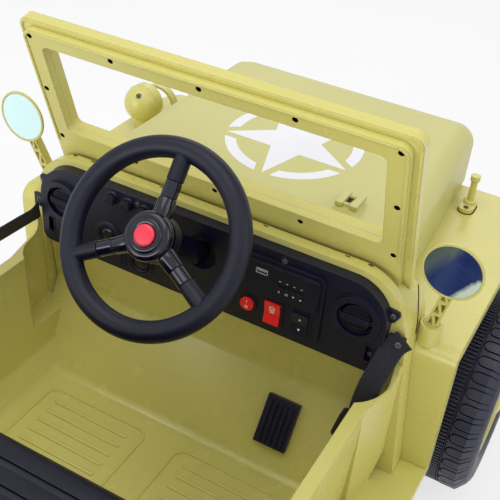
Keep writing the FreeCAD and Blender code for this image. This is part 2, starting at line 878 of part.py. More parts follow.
def rear_fender_left():
    """Boxed wheel cover at the rear with a round arch cut in its outer skin."""
    front, rear = rear_fender_front_y, rear_fender_rear_y
    outer_view = [(front, fender_foot_z), (front, fender_top_z), (rear, fender_top_z),
                  (rear, rear_fender_foot_z), (rear_axle_y, rear_fender_foot_z), (rear_axle_y, fender_foot_z)]
    inner_view = [(front + skin, fender_foot_z - overrun), (front + skin, fender_top_z - skin),
                  (rear - skin, fender_top_z - skin), (rear - skin, fender_foot_z - overrun)]
    form = prism("X", outer_view, tub_half_width + seat_clear, fender_edge_x,
                 [0, fender_bend, fender_bend, 0, 0, 0])
    hollow = prism("X", inner_view, tub_half_width, fender_edge_x - skin,
                   [0, fender_bend - skin, fender_bend - skin, 0])
    arch = disc("X", rear_axle_y, axle_z, tub_half_width, fender_edge_x + overrun, arch_radius)
    return form.cut(hollow).cut(arch)


# Hood and front panel

def hood_section(y, half_width, top_z, inset, foot_z):
    """Wire of the hood seen from the front at one place along the car."""
    half = half_width - inset
    top = top_z - inset
    radius = hood_shoulder - inset
    points = [V(half, y, foot_z), V(half, y, top), V(-half, y, top), V(-half, y, foot_z)]
    return rounded_wire(points, [0, radius, radius, 0])


def hood_form(inset, foot_z, extra=0):
    """Solid between the hood's rear and front outlines; extra lengthens it both ways."""
    width_slope = (hood_rear_half_width - hood_front_half_width) / (hood_rear_y - hood_front_y)
    nose_y = hood_front_y + nose_length
    sections = []
    for y in (hood_rear_y + extra, nose_y, hood_front_y - extra):
        half_width = hood_rear_half_width + (y - hood_rear_y) * width_slope
        drop = max(0, nose_y - y) * nose_drop / nose_length
        sections.append(hood_section(y, half_width, hood_top_at(y) - drop, inset, foot_z))
    return Part.makeLoft(sections, True, True)


def hinge_bars(start, end, radius):
    """Bars on the hood's hinge line, between two distances from the middle of each hinge."""
    return Part.Compound([disc("X", hood_rear_y, hood_rear_z, side * hinge_x + start, side * hinge_x + end, radius)
                          for side in sides])


def hood():
    """Tapering hood skin that rests on the fenders, with hinges and a raised pad for its catch."""
    shell = hood_form(0, fender_top_z + seat_clear).cut(hood_form(skin, fender_top_z - overrun, overrun))
    half = hinge_length / 2
    end = half + hinge_end_length + hinge_gap * 2
    relief = hinge_radius + hinge_gap
    shell = shell.cut(hinge_bars(-end, -half, relief)).cut(hinge_bars(half, end, relief))
    shell = fused([shell, hinge_bars(-half, half, hinge_radius)])
    shell = shell.cut(hinge_bars(-end, end, hinge_pin_radius + running_clear))
    pad_top = hood_top_at(pad_y) + pad_rise
    length, width = pad_length / 2, pad_width / 2
    low = rounded_wire([V(pad_x + a * width, pad_y + b * length, pad_top - pad_rise - skin)
                        for a, b in ((1, 1), (-1, 1), (-1, -1), (1, -1))], pad_taper)
    high = rounded_wire([V(pad_x + a * (width - pad_taper), pad_y + b * (length - pad_taper), pad_top)
                         for a, b in ((1, 1), (-1, 1), (-1, -1), (1, -1))], pad_taper)
    return fused([shell, Part.makeLoft([low, high], True, True)] + catch_bars())


def hood_top_at(y):
    """Height of the hood's top at a place along the car."""
    share = (hood_rear_y - y) / (hood_rear_y - hood_front_y)
    return hood_rear_z + (hood_front_z - hood_rear_z) * share


def catch_bars():
    """Two raised bars of the small catch on the hood's pad."""
    foot = hood_top_at(pad_y) + pad_rise
    half = catch_width / 2
    body = box((pad_x - catch_width - half, pad_x - half), (pad_y - catch_length / 2, pad_y
               + catch_length / 2), (foot, foot + catch_rise))
    twin = body.copy()
    twin.translate(V(catch_width + catch_width, 0, 0))
    return [body, twin]


def front_panel():
    """Upright panel at the car's nose with a row of slots and two round lamp seats."""
    inset = skin + panel_clear
    half, shoulder = hood_front_half_width - inset, hood_shoulder - inset
    top = hood_front_z - nose_drop - inset
    corners = [(-half, panel_foot_z), (half, panel_foot_z), (half, top), (-half, top)]
    plate = prism("Y", corners, hood_front_y, hood_front_y + panel_thickness,
                  [tub_corner, tub_corner, shoulder, shoulder])
    cuts = []
    for index in range(slot_count):
        centre = (index - (slot_count - 1) / 2) * slot_pitch
        span = (centre - slot_width / 2, centre + slot_width / 2)
        cuts.append(prism("Y", rectangle(span, (slot_foot_z, slot_top_z)), hood_front_y - overrun,
                          hood_front_y + panel_thickness + overrun,
                          slot_width / 2 - seat_clear))
    for side in sides:
        cuts.append(disc("Y", side * headlamp_x, headlamp_z, hood_front_y - overrun,
                         hood_front_y + panel_thickness + overrun, headlamp_radius - bezel_width))
    return plate.cut(Part.Compound(cuts))


def headlamps():
    """Two lamp bowls, each with a proud bezel ring and a bowl behind the panel."""
    front = hood_front_y
    rear = front + panel_thickness + headlamp_depth
    inner = headlamp_radius - bezel_width - seat_clear
    profile = [(front - bezel_width, inner - bezel_width), (front - bezel_width, headlamp_radius),
               (front, headlamp_radius), (front, inner), (rear, inner), (rear, 0),
               (rear - skin, 0), (rear - skin, inner - bezel_width)]
    bowl = lathe(profile, V(headlamp_x, 0, headlamp_z), V(0, 1, 0))
    return both(bowl)


def headlamp_lenses():
    """Two domed lenses inside the bezel rings."""
    radius = headlamp_radius - bezel_width - bezel_width - seat_clear - seat_clear
    front = hood_front_y - bezel_width
    profile = [(front, 0), (front + lens_bulge, radius), (front + lens_bulge + skin, radius),
               (front + lens_bulge + skin, 0)]
    wire_points = [V(x, r, 0) for x, r in profile]
    arc_middle = V(front + lens_bulge * (1 - math.cos(math.radians(quarter_turn) / 2)),
                   radius * math.sin(math.radians(quarter_turn) / 2), 0)
    edges = [Part.Arc(wire_points[0], arc_middle, wire_points[1]).toShape(),
             Part.makeLine(wire_points[1], wire_points[2]), Part.makeLine(wire_points[2], wire_points[3]),
             Part.makeLine(wire_points[3], wire_points[0])]
    lens = Part.Face(Part.Wire(edges)).revolve(V(0, 0, 0), V(1, 0, 0), full_turn)
    lens.Placement = FreeCAD.Placement(V(headlamp_x, 0, headlamp_z), FreeCAD.Rotation(V(1, 0, 0), V(0, 1, 0)))
    return both(lens)


# Windscreen

def leaned(shape):
    """Windscreen shape turned back about its lowest row of screws."""
    shape.rotate(V(0, 0, 0), V(1, 0, 0), -screen_lean)
    shape.translate(V(0, 0, screen_datum_z))
    return shape


def screen_frame(half_width, top, near, far):
    """One moulded half of the windscreen frame, open in the middle."""
    corners = rectangle((-half_width, half_width), (screen_foot, top))
    frame = prism("Y", corners, near, far, [0, 0, screen_corner, screen_corner])
    opening = prism("Y", rectangle((-opening_half_width, opening_half_width), (opening_foot, opening_top)),
                    -screen_rear_depth - screen_front_depth - overrun, overrun, opening_corner)
    return frame.cut(opening)


def cowl_keep_out():
    """Everything at or under the cowl's top, for what is seated on it."""
    low = cowl_arch(hood_front_y, cowl_rear_y + overrun, -seat_clear)
    half, top = cowl_half_width + seat_clear, cowl_top_z + cowl_rim_rise + seat_clear
    corner = cowl_corner + seat_clear
    corners = [(half, 0), (half, top), (-half, top), (-half, 0)]
    rim = prism("Y", corners, -seat_clear, cowl_rear_y + overrun, [0, corner, corner, 0])
    return low.fuse(rim)


def windscreen_rear():
    """Driver's half of the frame, with the recessed screw holes."""
    frame = screen_frame(screen_rear_half_width, screen_rear_top, -screen_rear_depth, 0)
    holes = []
    for x in (-screw_edge_x, -screw_row_x, 0, screw_row_x, screw_edge_x):
        holes.append(disc("Y", x, 0, -screw_depth, overrun, screw_radius))
        holes.append(disc("Y", x, screw_top, -screw_depth, overrun, screw_radius))
    for side in sides:
        holes.append(disc("Y", side * screw_edge_x, screw_top / 2, -screw_depth, overrun, screw_radius))
    return leaned(frame.cut(Part.Compound(holes))).cut(cowl_keep_out())


def windscreen_front():
    """Outer half of the frame, a little wider all round."""
    frame = screen_frame(screen_half_width, screen_top, -screen_rear_depth - screen_front_depth,
                         -screen_rear_depth)
    return leaned(frame).cut(cowl_keep_out())


# Dash

def dash_panel():
    """Dash moulding with air vents, screw ears and slots, and a recess for the steering column."""
    panel = prism("Y", dash_corners(), 0, dash_face_y,
                  [dash_foot_corner, dash_foot_corner, dash_corner, dash_corner])
    added = []
    for side in sides:
        added.append(disc("Y", side * vent_x, vent_z, dash_face_y, dash_face_y + vent_rise, vent_outer))
        added.append(disc("Y", side * (dash_half_width + ear_out), dash_top_z - ear_drop,
                          cowl_rear_y + seat_clear, cowl_rear_y + ear_thickness, ear_radius))
    panel = fused([panel] + added)
    cuts = []
    for side in sides:
        cuts.append(disc("Y", side * vent_x, vent_z, dash_face_y - vent_depth,
                         dash_face_y + vent_rise + overrun, vent_inner))
        x, half = side * (dash_half_width - dash_slot_in), dash_slot_width / 2
        z, reach = dash_foot_z + dash_slot_rise, dash_slot_length / 2
        cuts.append(prism("Y", rectangle((x - half, x + half), (z - reach, z + reach)),
                          dash_face_y - dash_slot_depth, dash_face_y + overrun, half - seat_clear))
    cuts.append(disc("Y", 0, steering_z_at(dash_face_y), dash_face_y - column_recess_depth,
                     dash_face_y + overrun, column_recess))
    cuts.append(column_bore(column_radius + running_clear))
    return panel.cut(Part.Compound(cuts))


def vent_knob():
    """Round vent shutter with a grip bar across it."""
    foot = dash_face_y - vent_depth
    knob = disc("Y", vent_x, vent_z, foot, dash_face_y, vent_knob_radius)
    half = vent_bar_width / 2
    bar = box((vent_x - vent_knob_radius, vent_x + vent_knob_radius),
              (dash_face_y - vent_rise, dash_face_y + vent_bar_rise), (vent_z - half, vent_z + half))
    ring_limit = disc("Y", vent_x, vent_z, foot, dash_face_y + vent_bar_rise, vent_knob_radius)
    return fused([knob, bar.common(ring_limit)])


def gauges():
    """Two round dials with raised rims."""
    dials = []
    for x, drop in gauge_places:
        z = dash_top_z - drop
        dial = disc("Y", x, z, dash_face_y, dash_face_y + gauge_rise, gauge_radius)
        sink = disc("Y", x, z, dash_face_y + gauge_rise / 2, dash_face_y + gauge_rise + overrun,
                    gauge_radius - gauge_rise)
        dials.append(dial.cut(sink))
    return Part.Compound(dials)


def dash_knobs():
    """Three small round knobs near the top of the dash, and the two vent shutters."""
    small = [disc("Y", x, dash_top_z - drop, dash_face_y, dash_face_y + knob_rise, knob_radius)
             for x, drop in knob_places]
    return Part.Compound(small + [vent_knob(), mirrored(vent_knob())])


def switch_console():
    """Raised console with the player module above and the switch frames below."""
    low = prism("Y", rectangle((console_right_x, console_left_x), (console_foot_z, console_top_z)),
                dash_face_y, dash_face_y + console_rise, console_corner)
    inset = console_rise + console_rise
    module = prism("Y", rectangle((console_right_x + inset, console_left_x - inset),
                                  (module_foot_z, console_top_z - inset)),
                   dash_face_y + console_rise, dash_face_y + console_rise + module_rise, console_rise)
    foot, bezel_top = dash_face_y + console_rise, dash_face_y + console_rise + frame_rise
    bezel = disc("Y", round_switch_x, switch_z, dash_face_y, bezel_top, round_bezel_radius)
    bezel = bezel.cut(disc("Y", round_switch_x, switch_z, foot, bezel_top + overrun,
                           round_switch_radius + seat_clear))
    frames = [rocker_frame(red_rocker_x), rocker_frame(black_rocker_x)]
    return fused([low, module, bezel, rocker_shape(black_rocker_x)] + frames)


def rocker_frame(x):
    """Raised frame round a rocker switch."""
    foot = dash_face_y + console_rise
    half_w, half_h = rocker_width / 2 + seat_clear, rocker_height / 2 + seat_clear
    inner = box((x - half_w, x + half_w), (foot, foot + frame_rise + overrun),
                (switch_z - half_h, switch_z + half_h))
    half_w, half_h = half_w + switch_frame, half_h + switch_frame
    outer = prism("Y", rectangle((x - half_w, x + half_w), (switch_z - half_h, switch_z + half_h)),
                  foot, foot + frame_rise, switch_frame)
    return outer.cut(inner)


def rocker_shape(x):
    """Rocker switch, its face dished by two slopes."""
    foot = dash_face_y + console_rise
    half_w, half_h = rocker_width / 2, rocker_height / 2
    side_view = [(foot, switch_z - half_h), (foot + rocker_rise, switch_z - half_h),
                 (foot + rocker_rise / 2, switch_z), (foot + rocker_rise, switch_z + half_h),
                 (foot, switch_z + half_h)]
    return prism("X", side_view, x - half_w, x + half_w)


def switches_red():
    """Round start switch and the red rocker."""
    foot = dash_face_y + console_rise
    button = disc("Y", round_switch_x, switch_z, foot, foot + rocker_rise, round_switch_radius)
    return Part.Compound([button, rocker_shape(red_rocker_x)])


# Steering

def steering_axis():
    """Unit vector from the dash towards the driver."""
    rise = math.radians(steering_rise)
    return V(0, math.cos(rise), math.sin(rise))


def steering_up():
    """Unit vector up in the plane of the steering wheel."""
    rise = math.radians(steering_rise)
    return V(0, -math.sin(rise), math.cos(rise))


def on_column(t):
    """Point on the column, t millimetres forward of the wheel's ring."""
    return V(0, wheel_ring_y, wheel_ring_z) - steering_axis() * t


def steering_z_at(y):
    """Height of the column's axis where it crosses a plane square to Y."""
    return wheel_ring_z + (y - wheel_ring_y) * math.tan(math.radians(steering_rise))


def column_bore(radius):
    """Hole for the column through the dash, bulkhead and support."""
    return rod(on_column(column_length), on_column(-overrun), radius)


def steering_wheel():
    """Ring with three round spokes that meet at a short boss."""
    centre = on_column(0)
    ring = Part.makeTorus(ring_radius, ring_tube, centre, steering_axis())
    pieces = [ring, rod(on_column(-hub_base), centre, hub_dome_radius - seat_clear)]
    for index in range(spoke_count):
        turn = FreeCAD.Rotation(steering_axis(), index * full_turn / spoke_count)
        along = turn.multVec(steering_up())
        pieces.append(rod(centre, centre + along * ring_radius, spoke_radius))
    wheel_solid = fused(pieces)
    return wheel_solid.cut(rod(on_column(-hub_base + overrun), on_column(-hub_top), column_radius + running_clear))


def steering_hub():
    """Glossy domed boss over the middle of the wheel."""
    foot = spoke_radius + seat_clear
    profile = [(foot, column_radius), (foot, hub_dome_radius), (hub_top, hub_dome_radius), (hub_top, 0),
               (foot + seat_clear, 0), (foot + seat_clear, column_radius)]
    return lathe(profile, on_column(0), steering_axis(), [0, 0, cap_fillet, 0, 0, 0])


def horn_button():
    """Red push button in the middle of the boss."""
    return rod(on_column(-hub_top), on_column(-hub_top - button_rise), button_radius)


def steering_column():
    """Steel rod with a crank and peg at its lower end."""
    foot = on_column(column_length)
    down = steering_up() * -crank_length
    shaft = rod(foot, on_column(-spoke_radius), column_radius)
    crank_centre = foot + down
    arm = crank_plate(foot, crank_centre)
    peg = rod(crank_centre, crank_centre - steering_axis() * peg_length, peg_radius)
    return fused([shaft, arm, peg])


def crank_plate(start, end):
    """Flat bar with round ends across the column's foot."""
    axis = steering_axis()
    half = V(crank_width / 2, 0, 0)
    face = Part.Face(Part.makePolygon([start + half, end + half, end - half, start - half, start + half]))
    bar = face.extrude(axis * crank_thickness)
    ends = [rod(p, p + axis * crank_thickness, crank_width / 2) for p in (start, end)]
    return fused([bar] + ends)


def column_support():
    """Cross bar between the bay walls with a collar round the column."""
    centre = on_column(support_t)
    half = support_bar / 2
    bar = box((-fender_inner_x, fender_inner_x), (centre.y - half, centre.y + half),
              (centre.z - half, centre.z + half))
    collar = rod(on_column(support_t - collar_half_length), on_column(support_t + collar_half_length),
                 collar_radius)
    return fused([bar, collar]).cut(column_bore(column_radius + running_clear))


# Front axle

def front_axle():
    """Beam with a forked yoke at each end for the kingpins."""
    half = beam_size / 2
    half_yoke = yoke_height / 2
    back_x = kingpin_x - yoke_back
    beam = box((-back_x, back_x), (front_axle_y - half, front_axle_y + half), (beam_foot_z, beam_foot_z + beam_size))
    pieces = [beam]
    for side in sides:
        plate = box((side * back_x, side * (back_x - yoke_ear)),
                    (front_axle_y - yoke_half_width, front_axle_y + yoke_half_width),
                    (axle_z - half_yoke, axle_z + half_yoke))
        pieces.append(plate)
        for foot_z in (axle_z - half_yoke, axle_z + half_yoke - yoke_ear):
            ear = box((side * back_x, side * kingpin_x),
                      (front_axle_y - yoke_half_width, front_axle_y + yoke_half_width),
                      (foot_z, foot_z + yoke_ear))
            tip = disc("Z", side * kingpin_x, front_axle_y, foot_z, foot_z + yoke_ear, yoke_half_width)
            pieces += [ear, tip]
    axle = fused(pieces)
    for side in sides:
        axle = axle.cut(disc("Z", side * kingpin_x, front_axle_y, 0, fender_top_z, kingpin_radius + running_clear))
    return axle


def knuckle(side):
    """Steering knuckle: kingpin, block, stub axle and the arm to the tie rod."""
    x = side * kingpin_x
    half_yoke = yoke_height / 2
    low, high = axle_z - half_yoke, axle_z + half_yoke
    pin = disc("Z", x, front_axle_y, low, high, kingpin_radius)
    block = disc("Z", x, front_axle_y, low + yoke_ear + seat_clear, high - yoke_ear - seat_clear, knuckle_radius)
    stub = disc("X", front_axle_y, axle_z, x, side * stub_end_x(), axle_radius)
    arm = box((x - arm_half_width, x + arm_half_width), (front_axle_y, tie_y),
              (arm_foot_z, arm_foot_z + arm_thickness))
    tip = disc("Z", x, tie_y, arm_foot_z, arm_foot_z + arm_thickness, arm_half_width)
    body = fused([pin, block, stub, arm, tip])
    return body.cut(disc("Z", x, tie_y, 0, fender_top_z, tie_pin_radius + running_clear))


def tie_rod():
    """Flat bar between the knuckle arms, with an upright fork for the crank's peg."""
    y = tie_y
    foot = arm_foot_z + arm_thickness + seat_clear
    bar = box((-kingpin_x, kingpin_x), (y - tie_half_width, y + tie_half_width), (foot, foot + tie_thickness))
    pieces = [bar]
    for side in sides:
        x = side * kingpin_x
        pieces.append(disc("Z", x, y, foot, foot + tie_thickness, tie_half_width))
        radius = tie_pin_radius if side > 0 else tie_pin_radius - seat_clear
        pieces.append(disc("Z", x, y, arm_foot_z - tie_thickness / 2, foot + tie_thickness, radius))
    half = fork_thickness / 2
    plate = prism("Y", rectangle((-fork_half_width, fork_half_width), (foot, fork_top_z)),
                  y - half, y + half, [0, 0, tie_half_width, tie_half_width])
    slot_half = peg_radius + fork_clear
    rounding = slot_half - seat_clear
    slot = prism("Y", rectangle((-slot_half, slot_half), (fork_slot_foot_z, fork_top_z + overrun)),
                 y - half - overrun, y + half + overrun, [rounding, rounding, 0, 0])
    return fused(pieces + [plate.cut(slot)])


# Chassis

def chassis():
    """Two rails with a battery tray, rear posts and blocks for the rear axle."""
    rail = box((rail_inner_x, rail_outer_x), (rail_front_y, rail_rear_y), (rail_foot_z, beam_foot_z))
    top = beam_foot_z + tray_thickness
    tray = box((-rail_outer_x, rail_outer_x), (tray_front_y, tray_rear_y), (beam_foot_z, top))
    post = box((-rail_outer_x, rail_outer_x), (rail_rear_y - rear_post_thickness, rail_rear_y),
               (beam_foot_z, deck_z - tub_wall))
    block = box((rail_inner_x, rail_outer_x), (rear_axle_y - axle_block_half, rear_axle_y + axle_block_half),
                (beam_foot_z, axle_z + axle_block_top))
    pieces = [tray, post]
    for shape in (rail, block):
        pieces += [shape, mirrored(shape)]
    frame = fused(pieces)
    return frame.cut(disc("X", rear_axle_y, axle_z, -wheel_centre_x, wheel_centre_x, axle_radius))


def rear_axle():
    """Steel rod that carries both rear wheels."""
    return disc("X", rear_axle_y, axle_z, -stub_end_x(), stub_end_x(), axle_radius)


def gearboxes():
    """Two gear housings, each with its motor, beside the rear wheels."""
    y_span = (rear_axle_y - gearbox_half_length, rear_axle_y + gearbox_half_length)
    z_span = (axle_z - gearbox_half_height, axle_z + gearbox_half_height)
    housing = prism("X", rectangle(y_span, z_span), gearbox_inner_x, gearbox_outer_x, gearbox_corner)
    motor_y = rear_axle_y - gearbox_half_length + gearbox_corner
    motor = disc("Y", (gearbox_inner_x + gearbox_outer_x) / 2, axle_z, motor_y,
                 rear_axle_y - gearbox_half_length - motor_length, motor_radius)
    lug = box((gearbox_inner_x, gearbox_outer_x), (rear_axle_y - lug_half_width, rear_axle_y + lug_half_width),
              (axle_z, deck_z - tub_wall))
    hole = disc("X", rear_axle_y, axle_z, 0, wheel_centre_x, axle_radius)
    return both(fused([housing, motor, lug]).cut(hole))


def battery():
    """Sealed battery on its tray under the hood."""
    middle = (tray_front_y + tray_rear_y) / 2
    foot = beam_foot_z + tray_thickness
    return box((-battery_width / 2, battery_width / 2),
               (middle - battery_length / 2, middle + battery_length / 2),
               (foot, foot + battery_height))


# Bumpers

def front_bumper():
    """Channel bumper with rounded ends across the rails' front ends."""
    plan = rectangle((-bumper_half_width, bumper_half_width), (bumper_front_y, rail_front_y))
    bar = prism("Z", plan, bumper_foot_z, bumper_foot_z + bumper_height,
                [bumper_corner, bumper_corner, 0, 0])
    channel = box((-bumper_half_width + bumper_corner, bumper_half_width - bumper_corner),
                  (bumper_front_y + bracket_thickness, rail_front_y + overrun),
                  (bumper_foot_z + bracket_thickness, bumper_foot_z + bumper_height - bracket_thickness))
    bracket = box((rail_inner_x, rail_outer_x), (bumper_front_y + bracket_thickness, rail_front_y),
                  (rail_foot_z, bumper_foot_z + bumper_height - bracket_thickness))
    return fused([bar.cut(channel), bracket, mirrored(bracket)])


def rear_bumpers():
    """Two short bumpers behind the tail."""
    outer_y = tail_y + bumperette_standoff + bumper_thickness
    plan = rectangle((bumperette_inner_x, bumperette_outer_x), (tail_y + bumperette_standoff, outer_y))
    bar = prism("Z", plan, tail_foot_z, tail_foot_z + bumper_height, [0, 0, bumper_corner, bumper_corner])
    arm = box((rail_inner_x, rail_outer_x), (tail_y, tail_y + bumperette_standoff),
              (tail_foot_z + bracket_thickness, tail_foot_z + bumper_height - bracket_thickness))
    return both(fused([bar, arm]))


# Mirrors

def mirror_heads():
    """Two round mirror shells, dished at the back."""
    rear = mirror_y + mirror_depth / 2
    front = mirror_y - mirror_depth / 2
    profile = [(front, 0), (front, mirror_radius - mirror_depth), (rear - mirror_rim, mirror_radius),
               (rear, mirror_radius), (rear, mirror_radius - mirror_rim),
               (rear - mirror_glass_depth, mirror_radius - mirror_rim), (rear - mirror_glass_depth, 0)]
    return both(lathe(profile, V(mirror_x, 0, mirror_z), V(0, 1, 0)))


def mirror_glasses():
    """Two round mirror glasses seated in their shells."""
    rear = mirror_y + mirror_depth / 2
    return both(disc("Y", mirror_x, mirror_z, rear - mirror_glass_depth, rear - seat_clear,
                     mirror_radius - mirror_rim - seat_clear))


def mirror_arms():
    """Two braced arms, open at the back, that lean from the sockets on the fenders to the mirrors."""
    foot_y = socket_y()
    foot_z = fender_top_z + socket_height
    head_z = mirror_z - mirror_radius + mirror_rim
    half = truss_width / 2
    lean = mirror_x - arm_foot_x
    front = foot_y - truss_depth / 2
    rear = front + truss_depth
    neck_y = mirror_y - mirror_depth / 2 - truss_depth / 2
    rise, run = head_z - foot_z, neck_y - foot_y
    height = math.hypot(rise, run)

    def on_arm(rise_share, across):
        """Point up the arm by a share of its height, and across it."""
        return arm_foot_x + lean * rise_share + across, foot_z + height * rise_share

    post = prism("Y", [on_arm(0, -half), on_arm(0, half), on_arm(1, half), on_arm(1, -half)], front, rear)
    pockets = []
    bay_share = 1 / truss_bays
    edge_share = truss_wall / height
    for index in range(truss_bays):
        low, high = index * bay_share + edge_share, (index + 1) * bay_share - edge_share
        inner = half - truss_wall
        lower = [on_arm(low, -inner), on_arm(low, inner - truss_wall), on_arm(high - edge_share, -inner)]
        upper = [on_arm(high, inner), on_arm(high, truss_wall - inner), on_arm(low + edge_share, inner)]
        pockets += [prism("Y", corners, rear - truss_pocket, rear + overrun) for corners in (lower, upper)]
    post = post.cut(Part.Compound(pockets))
    post.rotate(V(0, foot_y, foot_z), V(1, 0, 0), -math.degrees(math.atan2(run, rise)))
    tenon = disc("Z", arm_foot_x, foot_y, fender_top_z, foot_z, socket_bore - seat_clear)
    neck = box((mirror_x - half, mirror_x + half), (neck_y - truss_depth / 2, neck_y + truss_depth / 2),
               (head_z - truss_wall, head_z + truss_width))
    return both(fused([post, tenon, neck]))


# Lamp on the fender

def marker_lamp():
    """Bullet lamp that faces forward on a round foot."""
    profile = [(-lamp_nose, 0), (-lamp_nose, lamp_radius), (0, lamp_radius), (lamp_radius, 0)]
    points = [V(h, r, 0) for h, r in profile]
    slant = math.radians(quarter_turn) / 2
    middle = V(lamp_radius * math.sin(slant), lamp_radius * math.cos(slant), 0)
    edges = [Part.makeLine(points[0], points[1]), Part.makeLine(points[1], points[2]),
             Part.Arc(points[2], middle, points[3]).toShape(), Part.makeLine(points[3], points[0])]
    dome = Part.Face(Part.Wire(edges)).revolve(V(0, 0, 0), V(1, 0, 0), full_turn)
    dome.Placement = FreeCAD.Placement(V(lamp_x, lamp_y, lamp_z), FreeCAD.Rotation(V(1, 0, 0), V(0, 1, 0)))
    foot = disc("Z", lamp_x, lamp_y, fender_top_z, lamp_z, lamp_foot_radius)
    return fused([dome, foot])


def lamp_guard():
    """Flat hoop in front of the lamp, its legs on the fender."""
    outer, inner = hoop_radius, hoop_radius - hoop_thickness
    loops = []
    for radius in (outer, inner):
        loops.append(prism("Y", rectangle((hoop_x - radius, hoop_x + radius),
                                          (fender_top_z, hoop_crown_z + radius)),
                           hoop_y - hoop_width / 2, hoop_y + hoop_width / 2,
                           [0, 0, radius - seat_clear, radius - seat_clear]))
    return loops[0].cut(loops[1])


# Small fittings

def hood_latches():
    """Two latches on the fenders beside the hood, each a base plate and a headed post."""
    length, width = latch_length / 2, latch_width / 2
    foot = fender_top_z
    base = prism("Z", rectangle((latch_x - width, latch_x + width), (latch_y - length, latch_y + length)),
                 foot, foot + latch_rise, width - seat_clear)
    post_y = latch_y - length + width
    post = disc("Z", latch_x, post_y, foot + latch_rise, latch_top_z, latch_post_radius)
    head = disc("Z", latch_x, post_y, latch_top_z - latch_head, latch_top_z, latch_head_radius)
    return both(fused([base, post, head]))


def pedal():
    """Ribbed foot pedal that lies along the toe board."""
    half = pedal_width / 2
    plate = box((-half, half), (0, pedal_length), (0, pedal_thickness))
    ribs = []
    pitch = (pedal_width - pedal_rib - pedal_rib) / pedal_rib_count
    for index in range(pedal_rib_count):
        start = pedal_rib - half + (pitch - pedal_rib) / 2 + index * pitch
        ribs.append(box((start, start + pedal_rib), (pedal_rib + pedal_rib, pedal_length - pedal_rib),
                        (pedal_thickness, pedal_thickness + pedal_rib)))
    body = fused([plate] + ribs)
    board = V(0, toe_foot_y, tub_floor_z - toe_top_z).normalize()
    outward = V(0, toe_top_z - tub_floor_z, toe_foot_y).normalize()
    top = V(pedal_x, toe_foot_y * (toe_top_z - pedal_top_z) / (toe_top_z - tub_floor_z), pedal_top_z)
    turn = FreeCAD.Rotation(V(1, 0, 0), board, outward, "XYZ")
    body.Placement = FreeCAD.Placement(top + outward * seat_clear, turn)
    return body


def seat():
    """Moulded seat: cushion with side bolsters and a leaning back."""
    foot = deck_z
    half = seat_half_width
    cushion = prism("X", [(seat_front_y, foot), (seat_rear_y, foot), (seat_rear_y, foot + seat_cushion),
                          (seat_front_y, foot + seat_cushion)], -half, half, [0, 0, 0, seat_corner])
    top = seat_back_top_z
    back_view = [(seat_rear_y - seat_back_thickness, foot + seat_cushion), (seat_rear_y, foot + seat_cushion),
                 (seat_rear_y + seat_back_lean, top), (seat_rear_y + seat_back_lean - seat_back_thickness, top)]
    back = prism("X", back_view, -half, half, [0, 0, seat_corner, seat_corner / 2])
    front_view = rectangle((-half, half), (foot, top))
    trim = prism("Y", front_view, seat_front_y - overrun, tail_y, [0, 0, seat_corner + seat_corner,
                                                                 seat_corner + seat_corner])
    bolster_view = [(seat_front_y, foot + seat_cushion - seat_corner), (seat_rear_y - seat_back_thickness, foot
                    + seat_cushion), (seat_rear_y - seat_back_thickness, foot + seat_cushion + seat_bolster),
                    (seat_front_y + seat_corner, foot + seat_cushion + seat_bolster / 2)]
    bolster = prism("X", bolster_view, half - seat_bolster, half, 0)
    return fused([cushion, back.common(trim), bolster, mirrored(bolster)])


# Webbing

def webbing(points, across):
    """Flat strap through the points, its width along one direction."""
    half = across.normalize() * (web_width / 2)
    pieces = []
    for start, end in zip(points, points[1:]):
        normal = half.cross(end - start).normalize() * web_thickness
        face = Part.Face(Part.makePolygon([start + half, end + half, end - half, start - half, start + half]))
        pieces.append(face.extrude(normal))
    return fused(pieces)


def hanging_points():
    """Route of the unbuckled strap: over the end of the dash and down inside the tub."""
    plane_y = dash_face_y + anchor_thickness + seat_clear
    return [V(-anchor_x - anchor_thickness, cowl_rear_y + anchor_thickness + seat_clear, anchor_z),
            V(-anchor_x - hang_clear, plane_y, anchor_z - web_width / 2),
            V(-anchor_x + hang_in, plane_y, anchor_z - hang_drop)]


def taut_height(y):
    """Height of the taut strap's middle at a place along the car."""
    share = (y - cowl_rear_y) / (rear_anchor_y - cowl_rear_y)
    return front_strap_z + (rear_anchor_z - front_strap_z) * share


def taut_web(start_y, end_y):
    """Stretch of the taut strap, flat against the side of the tub."""
    half = web_width / 2
    outline = [(start_y, taut_height(start_y) - half), (end_y, taut_height(end_y) - half),
               (end_y, taut_height(end_y) + half), (start_y, taut_height(start_y) + half)]
    near = tub_half_width + anchor_thickness
    return prism("X", outline, near, near + web_thickness)


def buckle_at(y, length):
    """Buckle body round the taut strap."""
    half = buckle_width / 2
    middle = taut_height(y)
    near = tub_half_width + anchor_thickness + web_thickness
    outline = rectangle((y - length / 2, y + length / 2), (middle - half, middle + half))
    return prism("X", outline, near, near + buckle_thickness, anchor_thickness)


def door_straps():
    """Taut strap across the left door cut, and the two halves of the open right one."""
    left = taut_web(cowl_rear_y + anchor_thickness, rear_anchor_y)
    rear_half = mirrored(taut_web(rear_anchor_y - rear_web_length, rear_anchor_y))
    hanging = webbing(hanging_points(), V(1, 0, web_tilt_share))
    return Part.Compound([left, rear_half, hanging])


def buckles():
    """Closed buckle on the left, and the two open halves on the right."""
    closed = buckle_at(buckle_y, buckle_length + buckle_length / 2)
    socket = mirrored(buckle_at(rear_anchor_y - rear_web_length + anchor_thickness, buckle_length))
    points = hanging_points()
    along = (points[-1] - points[-2]).normalize()
    across = V(1, 0, web_tilt_share).normalize() * (buckle_width / 2)
    start, end = points[-1], points[-1] + along * buckle_length
    face = Part.Face(Part.makePolygon([start + across, end + across, end - across, start - across,
                                       start + across]))
    tongue = face.extrude(across.cross(along).normalize() * buckle_thickness)
    return Part.Compound([closed, socket, tongue])


